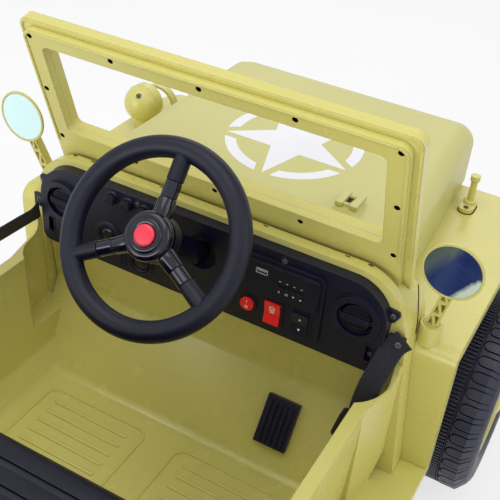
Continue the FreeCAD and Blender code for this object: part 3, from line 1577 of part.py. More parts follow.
def strap_anchors():
    """Four screwed plates that hold the straps' ends."""
    half = anchor_size / 2
    front = box((anchor_x - half, anchor_x + half), (cowl_rear_y, cowl_rear_y + anchor_thickness),
                (anchor_z - half, anchor_z + half))
    rear = box((tub_half_width, tub_half_width + anchor_thickness), (rear_anchor_y - half, rear_anchor_y + half),
               (rear_anchor_z - half, rear_anchor_z + half))
    return Part.Compound([front, mirrored(front), rear, mirrored(rear)])


# Tail

def spare(shape):
    """A wheel piece turned to lie against the tail, its outer face to the rear."""
    shape.rotate(V(0, 0, 0), V(0, 0, 1), quarter_turn)
    shape.translate(V(0, tail_y + spare_standoff + spare_width / 2, spare_z))
    return shape


def spare_bracket():
    """Round boss on the tail that meets the spare wheel's hub, and the stud through its bore."""
    face = tail_y + spare_standoff + spare_width / 2 + rim_face(spare_width)
    boss = disc("Y", 0, spare_z, tail_y, face - hub_inboard - seat_clear, hub_radius)
    return boss.fuse(disc("Y", 0, spare_z, tail_y, face, spare_bore - seat_clear))


def tail_lamps():
    """Two round lamps on the tail."""
    return both(disc("Y", tail_lamp_x, tail_lamp_z, tail_y, tail_y + tail_lamp_depth, tail_lamp_radius))


def save(name, shape):
    """Write one piece, moved so that the origin is under the car's middle."""
    placed = shape.copy()
    placed.translate(V(0, -origin_y, 0))
    placed.exportStep("parts/" + name + ".step")


def build():
    """Every piece by its node name."""
    nodes = {
        "tub": tub(),
        "cowl": cowl(),
        "fender_left": fender_left(),
        "rear_fender_left": rear_fender_left(),
        "hood": hood(),
        "hood_latches": hood_latches(),
        "front_panel": front_panel(),
        "headlamps": headlamps(),
        "headlamp_lenses": headlamp_lenses(),
        "front_bumper": front_bumper(),
        "rear_bumpers": rear_bumpers(),
        "windscreen_rear": windscreen_rear(),
        "windscreen_front": windscreen_front(),
        "dash_panel": dash_panel(),
        "gauges": gauges(),
        "dash_knobs": dash_knobs(),
        "switch_console": switch_console(),
        "switches_red": switches_red(),
        "steering_column": steering_column(),
        "steering_wheel": steering_wheel(),
        "steering_hub": steering_hub(),
        "horn_button": horn_button(),
        "column_support": column_support(),
        "front_axle": front_axle(),
        "knuckle_left": knuckle(1),
        "knuckle_right": knuckle(-1),
        "tie_rod": tie_rod(),
        "chassis": chassis(),
        "rear_axle": rear_axle(),
        "gearboxes": gearboxes(),
        "battery": battery(),
        "mirror_heads": mirror_heads(),
        "mirror_glasses": mirror_glasses(),
        "mirror_arms": mirror_arms(),
        "marker_lamp": marker_lamp(),
        "lamp_guard": lamp_guard(),
        "pedal": pedal(),
        "seat": seat(),
        "door_straps": door_straps(),
        "strap_anchors": strap_anchors(),
        "buckles": buckles(),
        "spare_tyre": spare(tyre_shape(spare_radius, spare_width, spare_bead_radius)),
        "spare_rim": spare(rim_shape(spare_bead_radius, spare_width, spare_bore)),
        "spare_bracket": spare_bracket(),
        "tail_lamps": tail_lamps(),
    }
    nodes["fender_right"] = mirrored(nodes["fender_left"])
    nodes["rear_fender_right"] = mirrored(nodes["rear_fender_left"])
    for side_name, side in (("left", 1), ("right", -1)):
        for end_name, axle_y in (("front", front_axle_y), ("rear", rear_axle_y)):
            for piece, shape in wheel(side, axle_y).items():
                nodes["_".join((piece, end_name, side_name))] = shape
    return nodes


os.makedirs("parts", exist_ok=True)
for node_name, node_shape in build().items():
    save(node_name, node_shape)
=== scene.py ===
from math import cos, radians, sin, sqrt, tau
import bpy
import bmesh
from mathutils import Matrix, Vector
from mathutils.bvhtree import BVHTree


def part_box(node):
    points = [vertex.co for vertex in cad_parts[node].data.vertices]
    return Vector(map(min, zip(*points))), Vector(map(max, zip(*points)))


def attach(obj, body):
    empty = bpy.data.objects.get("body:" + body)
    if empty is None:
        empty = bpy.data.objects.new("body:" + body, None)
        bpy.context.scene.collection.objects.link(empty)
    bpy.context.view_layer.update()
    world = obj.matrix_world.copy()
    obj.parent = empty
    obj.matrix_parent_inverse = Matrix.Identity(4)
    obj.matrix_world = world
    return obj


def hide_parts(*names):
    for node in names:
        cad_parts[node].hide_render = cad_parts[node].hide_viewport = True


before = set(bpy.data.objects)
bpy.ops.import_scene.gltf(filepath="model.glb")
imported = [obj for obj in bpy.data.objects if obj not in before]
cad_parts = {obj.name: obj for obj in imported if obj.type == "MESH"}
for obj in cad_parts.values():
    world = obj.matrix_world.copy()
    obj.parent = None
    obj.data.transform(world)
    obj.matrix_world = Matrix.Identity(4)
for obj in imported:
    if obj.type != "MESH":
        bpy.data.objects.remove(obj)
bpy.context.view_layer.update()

# Looks, studio and camera for the ride-on toy car in army 4x4 style.
# Places are written in the millimetres of the part's source, where Y runs from the foot of the
# windscreen, and at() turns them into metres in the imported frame.

scene = bpy.context.scene
origin_y = 120.0
sides = (1, -1)
rearward, upward = (0, 1, 0), (0, 0, 1)
level = ((1, 0, 0), (0, 1, 0))      # plane of the floor
flat = ((-1, 0, 0), (0, 0, 1))      # plane of the dash, seen from the driver


def at(x, y, z):
    """Point of the part's source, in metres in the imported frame."""
    return Vector((x, y - origin_y, z)) / 1000.0


def srgb(*screen):
    """Linear colour from the 0 to 255 values seen on a screen."""
    shares = [value / 255.0 for value in screen]
    return (*[s / 12.92 if s <= 0.04045 else ((s + 0.055) / 1.055) ** 2.4 for s in shares], 1.0)


# Mesh parts: each is a list of points in millimetres and a list of faces

def polar(radius, a, x=0.0, y=0.0):
    """Point of a circle, at an angle in radians."""
    return x + radius * cos(a), y + radius * sin(a)


def frame_of(direction):
    """Two directions square to a given one, and the direction itself."""
    n = Vector(direction).normalized()
    hint = Vector((1, 0, 0) if abs(n.x) < 0.9 else upward)
    u = (hint - n * hint.dot(n)).normalized()
    return u, n.cross(u), n


def lathe(profile, base, axis, count=32):
    """Turned solid; the profile gives heights along the axis and radii."""
    u, v, n = frame_of(axis)
    verts, faces, rings = [], [], []
    for height, radius in profile:
        centre = Vector(base) + n * height
        if radius <= 0:
            rings.append([len(verts)])
            verts.append(centre)
            continue
        rings.append(list(range(len(verts), len(verts) + count)))
        for k in range(count):
            a = tau * k / count
            verts.append(centre + (u * cos(a) + v * sin(a)) * radius)
    for low, high in zip(rings, rings[1:]):
        for k in range(count):
            after = (k + 1) % count
            face = []
            for i in (low[k % len(low)], low[after % len(low)], high[after % len(high)], high[k % len(high)]):
                if i not in face:
                    face.append(i)
            if len(face) > 2:
                faces.append(face)
    return verts, faces


def lifted(outlines, origin, u, v, depth):
    """Points of outlines in the plane of u and v, at its foot and as high as depth."""
    u, v = Vector(u).normalized(), Vector(v).normalized()
    n = u.cross(v).normalized()
    return [Vector(origin) + u * a + v * b + n * h for h in (0, depth)
            for outline in outlines for a, b in outline]


def slab(outline, origin, u, v, depth):
    """Plate whose outline lies in the plane of u and v, as thick as depth."""
    count = len(outline)
    faces = [list(range(count))[::-1], list(range(count, 2 * count))]
    faces += [[k, (k + 1) % count, count + (k + 1) % count, count + k] for k in range(count)]
    return lifted([outline], origin, u, v, depth), faces


def collar(outer, inner, origin, u, v, depth):
    """Flat frame between two outlines that have equally many points."""
    count = len(outer)
    faces = []
    for k in range(count):
        j = (k + 1) % count
        faces.append([k, j, count + j, count + k][::-1])
        faces.append([2 * count + k, 2 * count + j, 3 * count + j, 3 * count + k])
        faces.append([k, j, 2 * count + j, 2 * count + k])
        faces.append([count + k, 3 * count + k, 3 * count + j, count + j])
    return lifted([outer, inner], origin, u, v, depth), faces


def rounded(width, height, radius, steps=5):
    """Outline of a rectangle with round corners."""
    x, y = width / 2 - radius, height / 2 - radius
    corners = ((x, y, 0), (-x, y, 90), (-x, -y, 180), (x, -y, 270))
    return [polar(radius, radians(start + 90 * k / steps), cx, cy) for cx, cy, start in corners
            for k in range(steps + 1)]


def bar(width, height, x=0.0, y=0.0):
    """Outline of a plain bar."""
    return [(x + a * width / 2, y + b * height / 2) for a, b in ((-1, -1), (1, -1), (1, 1), (-1, 1))]


def circle(radius, count):
    """Outline of a circle."""
    return [polar(radius, tau * k / count) for k in range(count)]


def arc_band(inner, outer, start, end, steps=12, slant=0.0):
    """Outline of part of a flat ring, its ends cut straight or on a slant."""
    points = []
    for radius, first, last in ((outer, start, end), (inner, end - slant, start + slant)):
        points += [polar(radius, radians(first + (last - first) * k / steps)) for k in range(steps + 1)]
    return points


def screw(centre, axis, radius, height, turn):
    """Domed screw head with a cross-shaped recess."""
    u, v, n = frame_of(axis)
    rings, count = 9, 40
    verts, faces = [Vector(centre) + n * (height * 0.45)], []
    for i in range(1, rings):
        share = i / (rings - 1)
        for k in range(count):
            a = tau * k / count
            lift = height * (1.0 - 0.45 * share ** 3)
            if share < 0.68 and min(abs(share * cos(a)), abs(share * sin(a))) < 0.16:
                lift -= height * 0.55
            a += radians(turn)
            verts.append(Vector(centre) + (u * cos(a) + v * sin(a)) * radius * share + n * lift)
    verts += [verts[1 + (rings - 2) * count + k] - n * (height * 0.55) for k in range(count)]
    for k in range(count):
        j = (k + 1) % count
        faces.append([0, 1 + k, 1 + j])
        for i in range(rings - 1):
            low, high = 1 + i * count, 1 + (i + 1) * count
            faces.append([low + k, high + k, high + j, low + j])
    return verts, faces


def hex_bolt(centre, axis, height, washer, radius=4.2):
    """Hexagon head with its corners turned down, on a washer of a given radius."""
    foot = Vector(centre) + Vector(axis).normalized()
    return [lathe([(0, 0), (0, washer), (1.0, washer), (1.2, washer - 0.4), (1.2, 0)], centre, axis, 24),
            lathe([(0, 0), (0, radius), (height * 0.75, radius), (height, radius * 0.82), (height, 0)], foot,
                  axis, 6)]


# Materials

class Nodes:
    """Short ways to add and join the nodes of a tree."""

    def __init__(self, tree):
        self.tree = tree
        tree.nodes.clear()

    def link(self, a, b):
        self.tree.links.new(a, b)

    def fill(self, node, inputs):
        """Give a node's inputs their values or links."""
        for key, value in inputs.items():
            if isinstance(value, bpy.types.NodeSocket):
                self.link(value, node.inputs[key])
            elif value is not None:
                node.inputs[key].default_value = value

    def node(self, kind, inputs=None, **values):
        node = self.tree.nodes.new(kind)
        for key, value in values.items():
            setattr(node, key, value)
        self.fill(node, inputs or {})
        return node

    def maths(self, operation, *values):
        return self.node("ShaderNodeMath", dict(enumerate(values)), operation=operation).outputs[0]

    def seen(self):
        """One where the camera looks, straight, by a gloss or through glass."""
        paths = self.node("ShaderNodeLightPath").outputs
        direct = self.maths("MAXIMUM", paths["Is Camera Ray"], paths["Is Glossy Ray"])
        return self.maths("MAXIMUM", direct, paths["Is Transmission Ray"])

    def surface(self, factor, a, b, output):
        """Mix of two shaders as the surface of an output node."""
        mix = self.node("ShaderNodeMixShader", {0: factor, 1: a, 2: b})
        self.link(mix.outputs[0], output.inputs["Surface"])


class Look(Nodes):
    """Principled material whose layers are read at the object's own coordinates."""

    def __init__(self, name):
        self.material = bpy.data.materials.new(name)
        self.material.use_nodes = True
        super().__init__(self.material.node_tree)
        self.output = self.node("ShaderNodeOutputMaterial")
        self.shader = self.node("ShaderNodeBsdfPrincipled")
        self.link(self.shader.outputs["BSDF"], self.output.inputs["Surface"])
        coords = self.node("ShaderNodeTexCoord")
        self.place = coords.outputs["Object"]
        self.uv = coords.outputs["UV"]

    def moved(self, scale, location=(0, 0, 0)):
        inputs = {"Scale": scale, "Location": location, "Vector": self.place}
        return self.node("ShaderNodeMapping", inputs).outputs["Vector"]

    def split(self, source):
        """The three coordinates of a place."""
        return list(self.node("ShaderNodeSeparateXYZ", {0: source}).outputs)

    def noise(self, scale, detail=3.0, rough=0.55, source=None, distortion=0.0):
        inputs = {"Scale": scale, "Detail": detail, "Roughness": rough, "Distortion": distortion,
                  "Vector": source or self.place}
        return self.node("ShaderNodeTexNoise", inputs).outputs["Fac"]

    def spread(self, source, low, high, to_low, to_high):
        inputs = {"From Min": low, "From Max": high, "To Min": to_low, "To Max": to_high, "Value": source}
        return self.node("ShaderNodeMapRange", inputs).outputs["Result"]

    def mottle(self, low, high, scale, detail=3.0, **more):
        """Noise whose usual reach is spread between two values."""
        return self.spread(self.noise(scale, detail, **more), 0.3, 0.7, low, high)

    def plus(self, a, b):
        return self.maths("ADD", a, b)

    def times(self, a, b):
        return self.maths("MULTIPLY", a, b)

    def wave(self, source, length):
        """Sine along a coordinate, one turn for each length."""
        return self.maths("SINE", self.times(source, tau / length))

    def blend(self, factor, a, b):
        """Mix of two colours, each a link or three values seen on a screen."""
        a, b = [srgb(*colour) if isinstance(colour, tuple) else colour for colour in (a, b)]
        return self.node("ShaderNodeMix", {0: factor, 6: a, 7: b}, data_type="RGBA").outputs[2]

    def bump(self, height, strength, distance, normal=None):
        inputs = {"Strength": strength, "Distance": distance, "Height": height, "Normal": normal}
        return self.node("ShaderNodeBump", inputs).outputs["Normal"]

    def soft_edges(self, radius):
        return self.node("ShaderNodeBevel", {"Radius": radius}, samples=4).outputs["Normal"]

    def edge_mask(self, soft):
        """White where a sharp edge is near, from the rounded and the plain normal."""
        plain = self.node("ShaderNodeNewGeometry").outputs["Normal"]
        dot = self.node("ShaderNodeVectorMath", {0: soft, 1: plain}, operation="DOT_PRODUCT")
        return self.spread(dot.outputs["Value"], 0.995, 0.90, 0.0, 1.0)

    def finish(self, colour, rough, normal=None, **more):
        """Fill the shader and give the material."""
        inputs = {key.replace("_", " "): value for key, value in more.items()}
        self.fill(self.shader, {"Base Color": colour, "Roughness": rough, "Normal": normal, **inputs})
        return self.material


def plastic(name, colour, shade, pale, roughness, grain=0.12, grain_scale=1500.0, wave=0.03, edge=0.35,
            coat=0.0, radius=0.0012, specular=0.5):
    """Moulded plastic: uneven tone, fine grain, slight waviness and rubbed edges."""
    look = Look(name)
    soft = look.soft_edges(radius)
    tone = look.blend(look.mottle(0.0, 1.0, 6.0, rough=0.5, distortion=0.3), shade, colour)
    specks = look.noise(420.0, 2.0, 0.7)
    tone = look.blend(look.spread(specks, 0.62, 0.80, 0.0, 0.08), tone, pale)
    worn = look.times(look.edge_mask(soft), look.mottle(0.0, 0.7, 60.0, 4.0))
    tone = look.blend(look.times(worn, edge), tone, pale)
    scuffs = look.noise(1.0, 4.0, 0.7, source=look.moved((40.0, 220.0, 90.0)))
    rough = look.mottle(roughness - 0.03, roughness + 0.03, 30.0, 4.0)
    rough = look.plus(rough, look.spread(scuffs, 0.62, 0.8, 0.0, 0.05))
    fine = look.bump(look.noise(grain_scale, 2.0, 0.6), grain, 0.0004, soft)
    normal = look.bump(look.noise(9.0, 2.0, 0.4), wave, 0.006, fine)
    return look.finish(tone, rough, normal, Coat_Weight=coat, Coat_Roughness=0.08, IOR=1.49,
                       Specular_IOR_Level=specular)


khaki = plastic("khaki_moulded", (212, 204, 118), (208, 200, 113), (226, 219, 150), 0.26, grain=0.05,
                grain_scale=1300.0, edge=0.18, radius=0.0016)
khaki_hood = plastic("khaki_hood", (200, 195, 122), (196, 191, 117), (214, 209, 146), 0.40, grain=0.14,
                     grain_scale=1600.0, wave=0.02, radius=0.0016)
black = plastic("black_moulded", (15, 15, 40), (12, 12, 34), (48, 48, 76), 0.40, grain=0.16,
                grain_scale=1900.0, wave=0.02, radius=0.0008, specular=0.4)
black_matt = plastic("black_matt", (11, 11, 34), (9, 9, 29), (40, 40, 68), 0.46, grain=0.22,
                     grain_scale=1700.0, wave=0.02, edge=0.3, radius=0.0006, specular=0.32)
gloss = plastic("black_gloss", (12, 12, 34), (9, 9, 28), (40, 40, 66), 0.13, grain=0.02,
                grain_scale=900.0, edge=0.3, coat=0.2, radius=0.0008, specular=0.4)
red = plastic("red_switch", (255, 26, 44), (246, 18, 34), (255, 110, 116), 0.20, grain=0.03,
              grain_scale=1100.0, edge=0.5, coat=0.3, radius=0.0006)
red_horn = plastic("red_horn", (244, 60, 84), (232, 48, 72), (255, 124, 134), 0.34, grain=0.06,
                   grain_scale=1400.0, edge=0.4, radius=0.0008)
case = plastic("battery_case", (64, 64, 70), (52, 52, 58), (104, 104, 110), 0.55, grain=0.25,
               grain_scale=1000.0, edge=0.4)
# Near-black colour laid in the windscreen's screw holes, round the latch plates and along the cowl seams:
# painted shade.
recess = plastic("painted_shade_recess", (14, 13, 14), (10, 9, 10), (30, 30, 32), 0.8, grain=0.10,
                 grain_scale=900.0, wave=0.02, edge=0.1, radius=0.0002, specular=0.1)
print_white = plastic("white_print", (240, 240, 243), (230, 230, 234), (250, 250, 252), 0.38, grain=0.08,
                      wave=0.02, edge=0.2, radius=0.0002)
grey_thread = plastic("grey_thread", (58, 58, 72), (48, 48, 62), (92, 92, 108), 0.55, wave=0.06,
                      radius=0.0002)


def painted_steel(name, paint, bare, wear):
    """Painted or plated steel with bright metal where its edges are rubbed."""
    look = Look(name)
    soft = look.soft_edges(0.0009)
    worn = look.times(look.edge_mask(soft), look.spread(look.noise(90.0, 5.0), 0.42, 0.62, 0.0, wear))
    blotch = look.spread(look.noise(45.0, 5.0, 0.7), 0.66, 0.76, 0.0, wear * 0.5)
    worn = look.maths("MAXIMUM", worn, blotch)
    base = look.blend(look.mottle(0.0, 0.35, 18.0, 4.0), paint, bare)
    metal = look.spread(worn, 0.0, 1.0, 0.35, 1.0)
    orange_peel = look.bump(look.noise(600.0, 2.0), 0.10, 0.0006, soft)
    brushed = look.noise(1.0, source=look.moved((30.0, 900.0, 900.0)))
    return look.finish(look.blend(worn, base, bare), look.mottle(0.34, 0.52, 120.0, 4.0),
                       look.bump(brushed, 0.05, 0.0004, orange_peel), Metallic=metal)


steel = painted_steel("painted_steel", (42, 43, 47), (150, 152, 156), 0.6)
screw_steel = painted_steel("dark_screw", (40, 41, 48), (150, 152, 160), 0.6)
bright_steel = painted_steel("bright_steel", (186, 187, 190), (220, 221, 224), 0.4)


def webbing_look():
    """Woven polyester webbing: ribs across, yarns along, bound edges; its lengths are millimetres."""
    look = Look("black_webbing")
    across, along = look.split(look.uv)[:2]
    ribs = look.wave(along, 1.25)
    lean = look.plus(look.times(across, tau / 1.6), look.times(along, tau / 2.5))
    weave = look.times(look.plus(ribs, 1.0), look.plus(look.maths("SINE", lean), 1.3))
    fuzz = look.noise(2600.0, 3.0, 0.8)
    # Darker in the hollows of the weave and lighter on its ribs: painted shade and painted highlight.
    tone = look.blend(look.spread(weave, 0.2, 4.2, 0.0, 1.0), (10, 10, 18), (34, 34, 50))
    tone = look.blend(look.spread(look.noise(120.0, 4.0), 0.4, 0.8, 0.0, 0.2), tone, (48, 48, 62))
    relief = look.bump(look.plus(weave, look.times(fuzz, 0.8)), 0.55, 0.0004)
    return look.finish(tone, look.spread(fuzz, 0.3, 0.7, 0.70, 0.86), relief, Sheen_Weight=0.08,
                       Sheen_Roughness=0.4)


webbing = webbing_look()


def tyre_look(name, centre, axis):
    """Hard tyre plastic with moulded rings and ribs on the sidewall about the wheel's own centre."""
    look = Look(name)
    soft = look.soft_edges(0.0012)
    place = look.split(look.moved((1, 1, 1), location=tuple(-c for c in centre)))
    one, two = [c for c, share in zip(place, axis) if not share]
    reach = look.maths("SQRT", look.plus(look.times(one, one), look.times(two, two)))
    rings = look.wave(reach, 0.0042)
    ribs = look.maths("SINE", look.times(look.maths("ARCTAN2", one, two), 88.0))
    rib_zone, ring_zone = [look.times(look.spread(reach, low, low + 0.002, 0.0, 1.0),
                                      look.spread(reach, high, high + 0.002, 1.0, 0.0))
                           for low, high in ((0.104, 0.116), (0.086, 0.101))]
    moulded = look.plus(look.times(rings, ring_zone), look.times(ribs, rib_zone))
    tone = look.blend(look.mottle(0.0, 1.0, 25.0, 5.0, rough=0.6), (26, 26, 50), (32, 32, 58))
    dust = look.spread(look.noise(160.0, 5.0, 0.75), 0.60, 0.8, 0.0, 0.10)
    tone = look.blend(dust, tone, (84, 82, 86))
    tone = look.blend(look.times(look.edge_mask(soft), 0.35), tone, (84, 84, 100))
    fine = look.bump(look.noise(1200.0), 0.2, 0.0004, soft)
    return look.finish(tone, look.mottle(0.36, 0.52, 70.0, 4.0), look.bump(moulded, 0.5, 0.0007, fine))


def mirror_look():
    """Mirror foil, pale on the left glass and deep blue on the right one, with two streaks on the right one
    that are painted reflections.
    """
    look = Look("mirror_foil")
    x, _, z = look.split(look.place)
    clouds = look.noise(26.0, 3.0, 0.5, distortion=0.8)
    # Slate and pale streaks across the right glass along this slant are painted reflections; the clouds noise
    # wiggles their edges.
    slant = look.plus(z, look.times(x, 1.3))
    slant = look.plus(slant, look.spread(clouds, 0.3, 0.7, -0.006, 0.006))
    deep = look.blend(look.spread(clouds, 0.40, 0.62, 0.0, 1.0), (30, 50, 122), (48, 72, 146))
    deep = look.blend(look.spread(slant, 0.112, 0.132, 0.0, 0.9), deep, (104, 118, 122))
    deep = look.blend(look.spread(slant, 0.068, 0.060, 0.0, 1.0), deep, (232, 250, 253))
    pale = look.blend(look.mottle(0.0, 1.0, 30.0), (214, 250, 250), (222, 252, 252))
    return look.finish(look.blend(look.spread(x, -0.01, 0.01, 0.0, 1.0), deep, pale),
                       look.mottle(0.05, 0.10, 200.0), look.bump(look.noise(40.0, 2.0), 0.04, 0.002),
                       Metallic=0.45)


def lens_look(name, colour, see_through, rib):
    """Moulded lens with fine ribs."""
    look = Look(name)
    x, _, z = look.split(look.place)
    ribs = look.plus(look.wave(x, rib), look.times(look.wave(z, rib * 3), 0.5))
    tone = look.blend(look.mottle(0.0, 0.06, 60.0), colour, (255, 255, 255))
    return look.finish(tone, look.mottle(0.05, 0.14, 220.0), look.bump(ribs, 0.35, 0.0006), IOR=1.49,
                       Transmission_Weight=see_through, Coat_Weight=0.3, Coat_Roughness=0.05)


mirror = mirror_look()
clear_lens = lens_look("clear_lens", (238, 243, 248), 0.9, 0.004)
red_lens = lens_look("red_lens", (205, 22, 20), 0.15, 0.003)


# Wheels: each tyre's body, centre, axis, radius, width and the radius of its bead

wheel_x, wheel_z = 291.0, 140.0
road_wheels = [("%s_%s" % (end, word), side, y) for end, y in (("front", -215.0), ("rear", 435.0))
               for word, side in (("left", 1), ("right", -1))]
spare_z = 312.0
tyres = {"spare_tyre": ("body", (0.0, 635.0, spare_z), rearward, 112.0, 58.0, 66.0)}
for name, side, y in road_wheels:
    tyres["tyre_" + name] = ("wheel_" + name, (side * wheel_x, y, wheel_z), (side, 0, 0), 139.75, 98.0, 84.0)


# Carried-over nodes take these materials

node_looks = {
    khaki: ["tub", "cowl", "fender_left", "fender_right", "rear_fender_left", "rear_fender_right",
            "hood_latches", "front_panel", "windscreen_front", "windscreen_rear", "mirror_heads",
            "mirror_arms", "marker_lamp", "lamp_guard", "spare_rim", "spare_bracket"]
           + ["rim_" + name for name, side, y in road_wheels],
    khaki_hood: ["hood"],
    black: ["dash_panel", "dash_knobs", "gauges", "switch_console", "headlamps", "strap_anchors", "pedal",
            "front_bumper", "rear_bumpers", "seat", "gearboxes", "chassis", "buckles"],
    black_matt: ["steering_wheel"],
    gloss: ["steering_hub"],
    red: ["switches_red"],
    red_horn: ["horn_button"],
    steel: ["steering_column", "column_support", "front_axle", "knuckle_left", "knuckle_right", "tie_rod",
            "rear_axle"],
    webbing: ["door_straps"],
    mirror: ["mirror_glasses"],
    clear_lens: ["headlamp_lenses"],
    red_lens: ["tail_lamps"],
    case: ["battery"],
}
for node, tyre in tyres.items():
    node_looks[tyre_look(node + "_look", at(*tyre[1]), tyre[2])] = [node]
for material, names in node_looks.items():
    for node in names:
        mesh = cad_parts[node].data
        mesh.materials.clear()
        mesh.materials.append(material)


# Objects, each parented to the empty of a CAD body

slot_of = {khaki: "khaki_plastic", khaki_hood: "khaki_plastic", black: "black_plastic", gloss: "gloss_black",
           black_matt: "black_plastic", recess: "gloss_black", print_white: "black_plastic",
           red_horn: "red_plastic", screw_steel: "steel", bright_steel: "steel", webbing: "webbing",
           grey_thread: "webbing", red_lens: "red_lens", case: "battery_case"}


def make(name, parts, material, body="body", slot=None, bevel=0.0, smooth=32.0, marks=None):
    """Object from parts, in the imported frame, riding on a CAD body; marks lay the weave on webbing."""
    slot = slot or slot_of[material]
    verts, faces = [], []
    for some_verts, some_faces in parts:
        base = len(verts)
        verts += [at(*v) for v in some_verts]
        faces += [[base + i for i in face] for face in some_faces]
    mesh = bpy.data.meshes.new(name)
    mesh.from_pydata(verts, [], faces)
    if marks:
        layer = mesh.uv_layers.new(name="weave")
        for loop in mesh.loops:
            layer.data[loop.index].uv = marks[loop.vertex_index]
    work = bmesh.new()
    work.from_mesh(mesh)
    bmesh.ops.recalc_face_normals(work, faces=work.faces)
    if bevel:
        edges = [e for e in work.edges
                 if len(e.link_faces) == 2 and e.calc_face_angle(0.0) > radians(35)]
        bmesh.ops.bevel(work, geom=edges, offset=bevel / 1000.0, segments=2, profile=0.6, affect="EDGES",
                        clamp_overlap=True)
    work.to_mesh(mesh)
    work.free()
    mesh.shade_smooth()
    mesh.set_sharp_from_angle(angle=radians(smooth))
    mesh.materials.append(material)
    obj = bpy.data.objects.new(name, mesh)
    scene.collection.objects.link(obj)
    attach(obj, body)
    return obj


def print_on(name, node, items, axis, lift, body="body", slot=None):
    """Printed film pressed on a CAD node along an axis; items are outlines with their two places."""
    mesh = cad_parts[node].data
    tree = BVHTree.FromPolygons([v.co for v in mesh.vertices], [tuple(p.vertices) for p in mesh.polygons])
    parts = [slab(outline, (a, 0, b), *flat, 1.0) if axis == 1 else slab(outline, (a, b, 0), *level, 1.0)
             for outline, a, b in items]
    film = make(name, parts, print_white, body, slot)
    start, middle, sunk = at(0, 220, 1000)[axis], at(0, 0.5, 0.5)[axis], -0.2
    toward = -Vector(rearward if axis == 1 else upward)
    for vertex in film.data.vertices:
        rise = lift if vertex.co[axis] > middle else sunk
        above = vertex.co.copy()
        above[axis] = start
        hit = tree.ray_cast(above, toward)[0]
        if hit is not None:
            vertex.co[axis] = hit[axis] + rise / 1000.0
    film.data.update()


# Star in a broken ring on the hood

star_y = -201
star = [polar(89.5 if k % 2 == 0 else 34.2, radians(90 + 36 * k)) for k in range(10)]
arcs = [arc_band(75.0, 89.6, low + 6.7, low + 65.3, 14, 5.3) for low in range(90, 450, 72)]
print_on("hood_star", "hood", [(outline, 0, star_y) for outline in [star] + arcs], 2, 0.35, "hood",
         "khaki_plastic")


# Windscreen screws in their recesses

lean = radians(17.4)
screen_foot = Vector((0, 0, 448.0))
screen_up = Vector((0, sin(lean), cos(lean)))
screen_out = Vector((0, cos(lean), -sin(lean)))


def on_screen(u, v, out=0.0):
    """Point on the rear face of the windscreen frame."""
    return Vector((u, 0, 0)) + screen_foot + screen_up * v + screen_out * out


places = [(u, v) for v in (0.0, 143.2) for u in range(-210, 211, 105)] + [(210, 71.6), (-210, 71.6)]
cup = [(-4.7, 0), (-4.7, 3.0), (-0.5, 3.12), (-0.3, 3.18), (-0.5, 3.2), (-4.9, 3.2), (-4.9, 0)]
# Near-black cups lining the screw holes: painted shade in the recesses.
make("windscreen_holes", [lathe(cup, on_screen(u, v), screen_out, 28) for u, v in places], recess)
make("windscreen_screws", [screw(on_screen(u, v, -4.8), screen_out, 2.0, 1.6, 15 + 37 * i)
                           for i, (u, v) in enumerate(places)], screw_steel)


# Raised lips along the edges of both windscreen halves, each half with its half width, top and face

lip, lip_rise, corner = 3.4, 1.5, 12.0
lips = []
for half, top, out in ((219.0, 151.0, -0.2), (228.0, 158.0, -9.2)):
    outlines = []
    for side in sides:
        outlines.append(bar(lip, top - 4.0, side * (half - 2.3), top / 2 - 10.0))
        start = 0 if side > 0 else 90
        outlines.append([(a + side * (half - corner), b + top - corner)
                         for a, b in arc_band(8.0, 11.4, start, start + 90, 8)])
    outlines.append(bar(2 * (half - corner), lip, 0.0, top - 2.3))
    lips += [slab(outline, on_screen(0, 0, out), (-1, 0, 0), screen_up, lip_rise) for outline in outlines]
make("windscreen_lips", lips, khaki, bevel=0.7)


# Dash screws and their seats

dash_y = 27.0


def turned(profile, x, z, count=28, y=dash_y):
    """Part turned about an axis that points at the driver."""
    return lathe(profile, (x, y, z), rearward, count)


def plate(outline, x, z, depth, y=dash_y):
    """Plate that faces the driver."""
    return slab(outline, (x, y, z), *flat, depth)


def hoop(outer, inner, x, z, depth, y=dash_y):
    """Flat frame that faces the driver."""
    return collar(outer, inner, (x, y, z), *flat, depth)


screws, seats = [], []
for x, z, turn in ((-105, 413, 10), (83, 413.5, 50)):
    screws.append(screw((x, dash_y + 0.5, z), rearward, 3.2, 2.0, turn))
    seats.append(turned([(0, 3.5), (0, 5.2), (0.8, 4.9), (0.8, 3.7), (0, 3.5)], x, z))
for side in sides:
    screws.append(screw((side * 227.5, 17.0, 388.0), rearward, 3.4, 2.4, 25 * side))
    screws.append(screw((side * 212.0, 19.0, 330.5), rearward, 3.0, 2.4, 33 * side))
    seats.append(hoop(rounded(10.4, 25.4, 5.1, 6), rounded(7.4, 22.4, 3.6, 6), side * 212, 336, 0.7))
make("dash_screws", screws, screw_steel)
ear = [(9, 9), (-5.6, 6.9), (-7.4, 4.4), (-7.3, 1.2), (-2.4, -8.0), (7, -13)]
make("dash_ears", [plate([(-x, z) for x, z in ear], -227.5, 388, 2.3, 14.3),
                   plate(ear[::-1], 227.5, 388, 2.3, 14.3)], black, bevel=0.5)
make("dash_screw_seats", seats, black)


# Console: charging socket, keys, signs

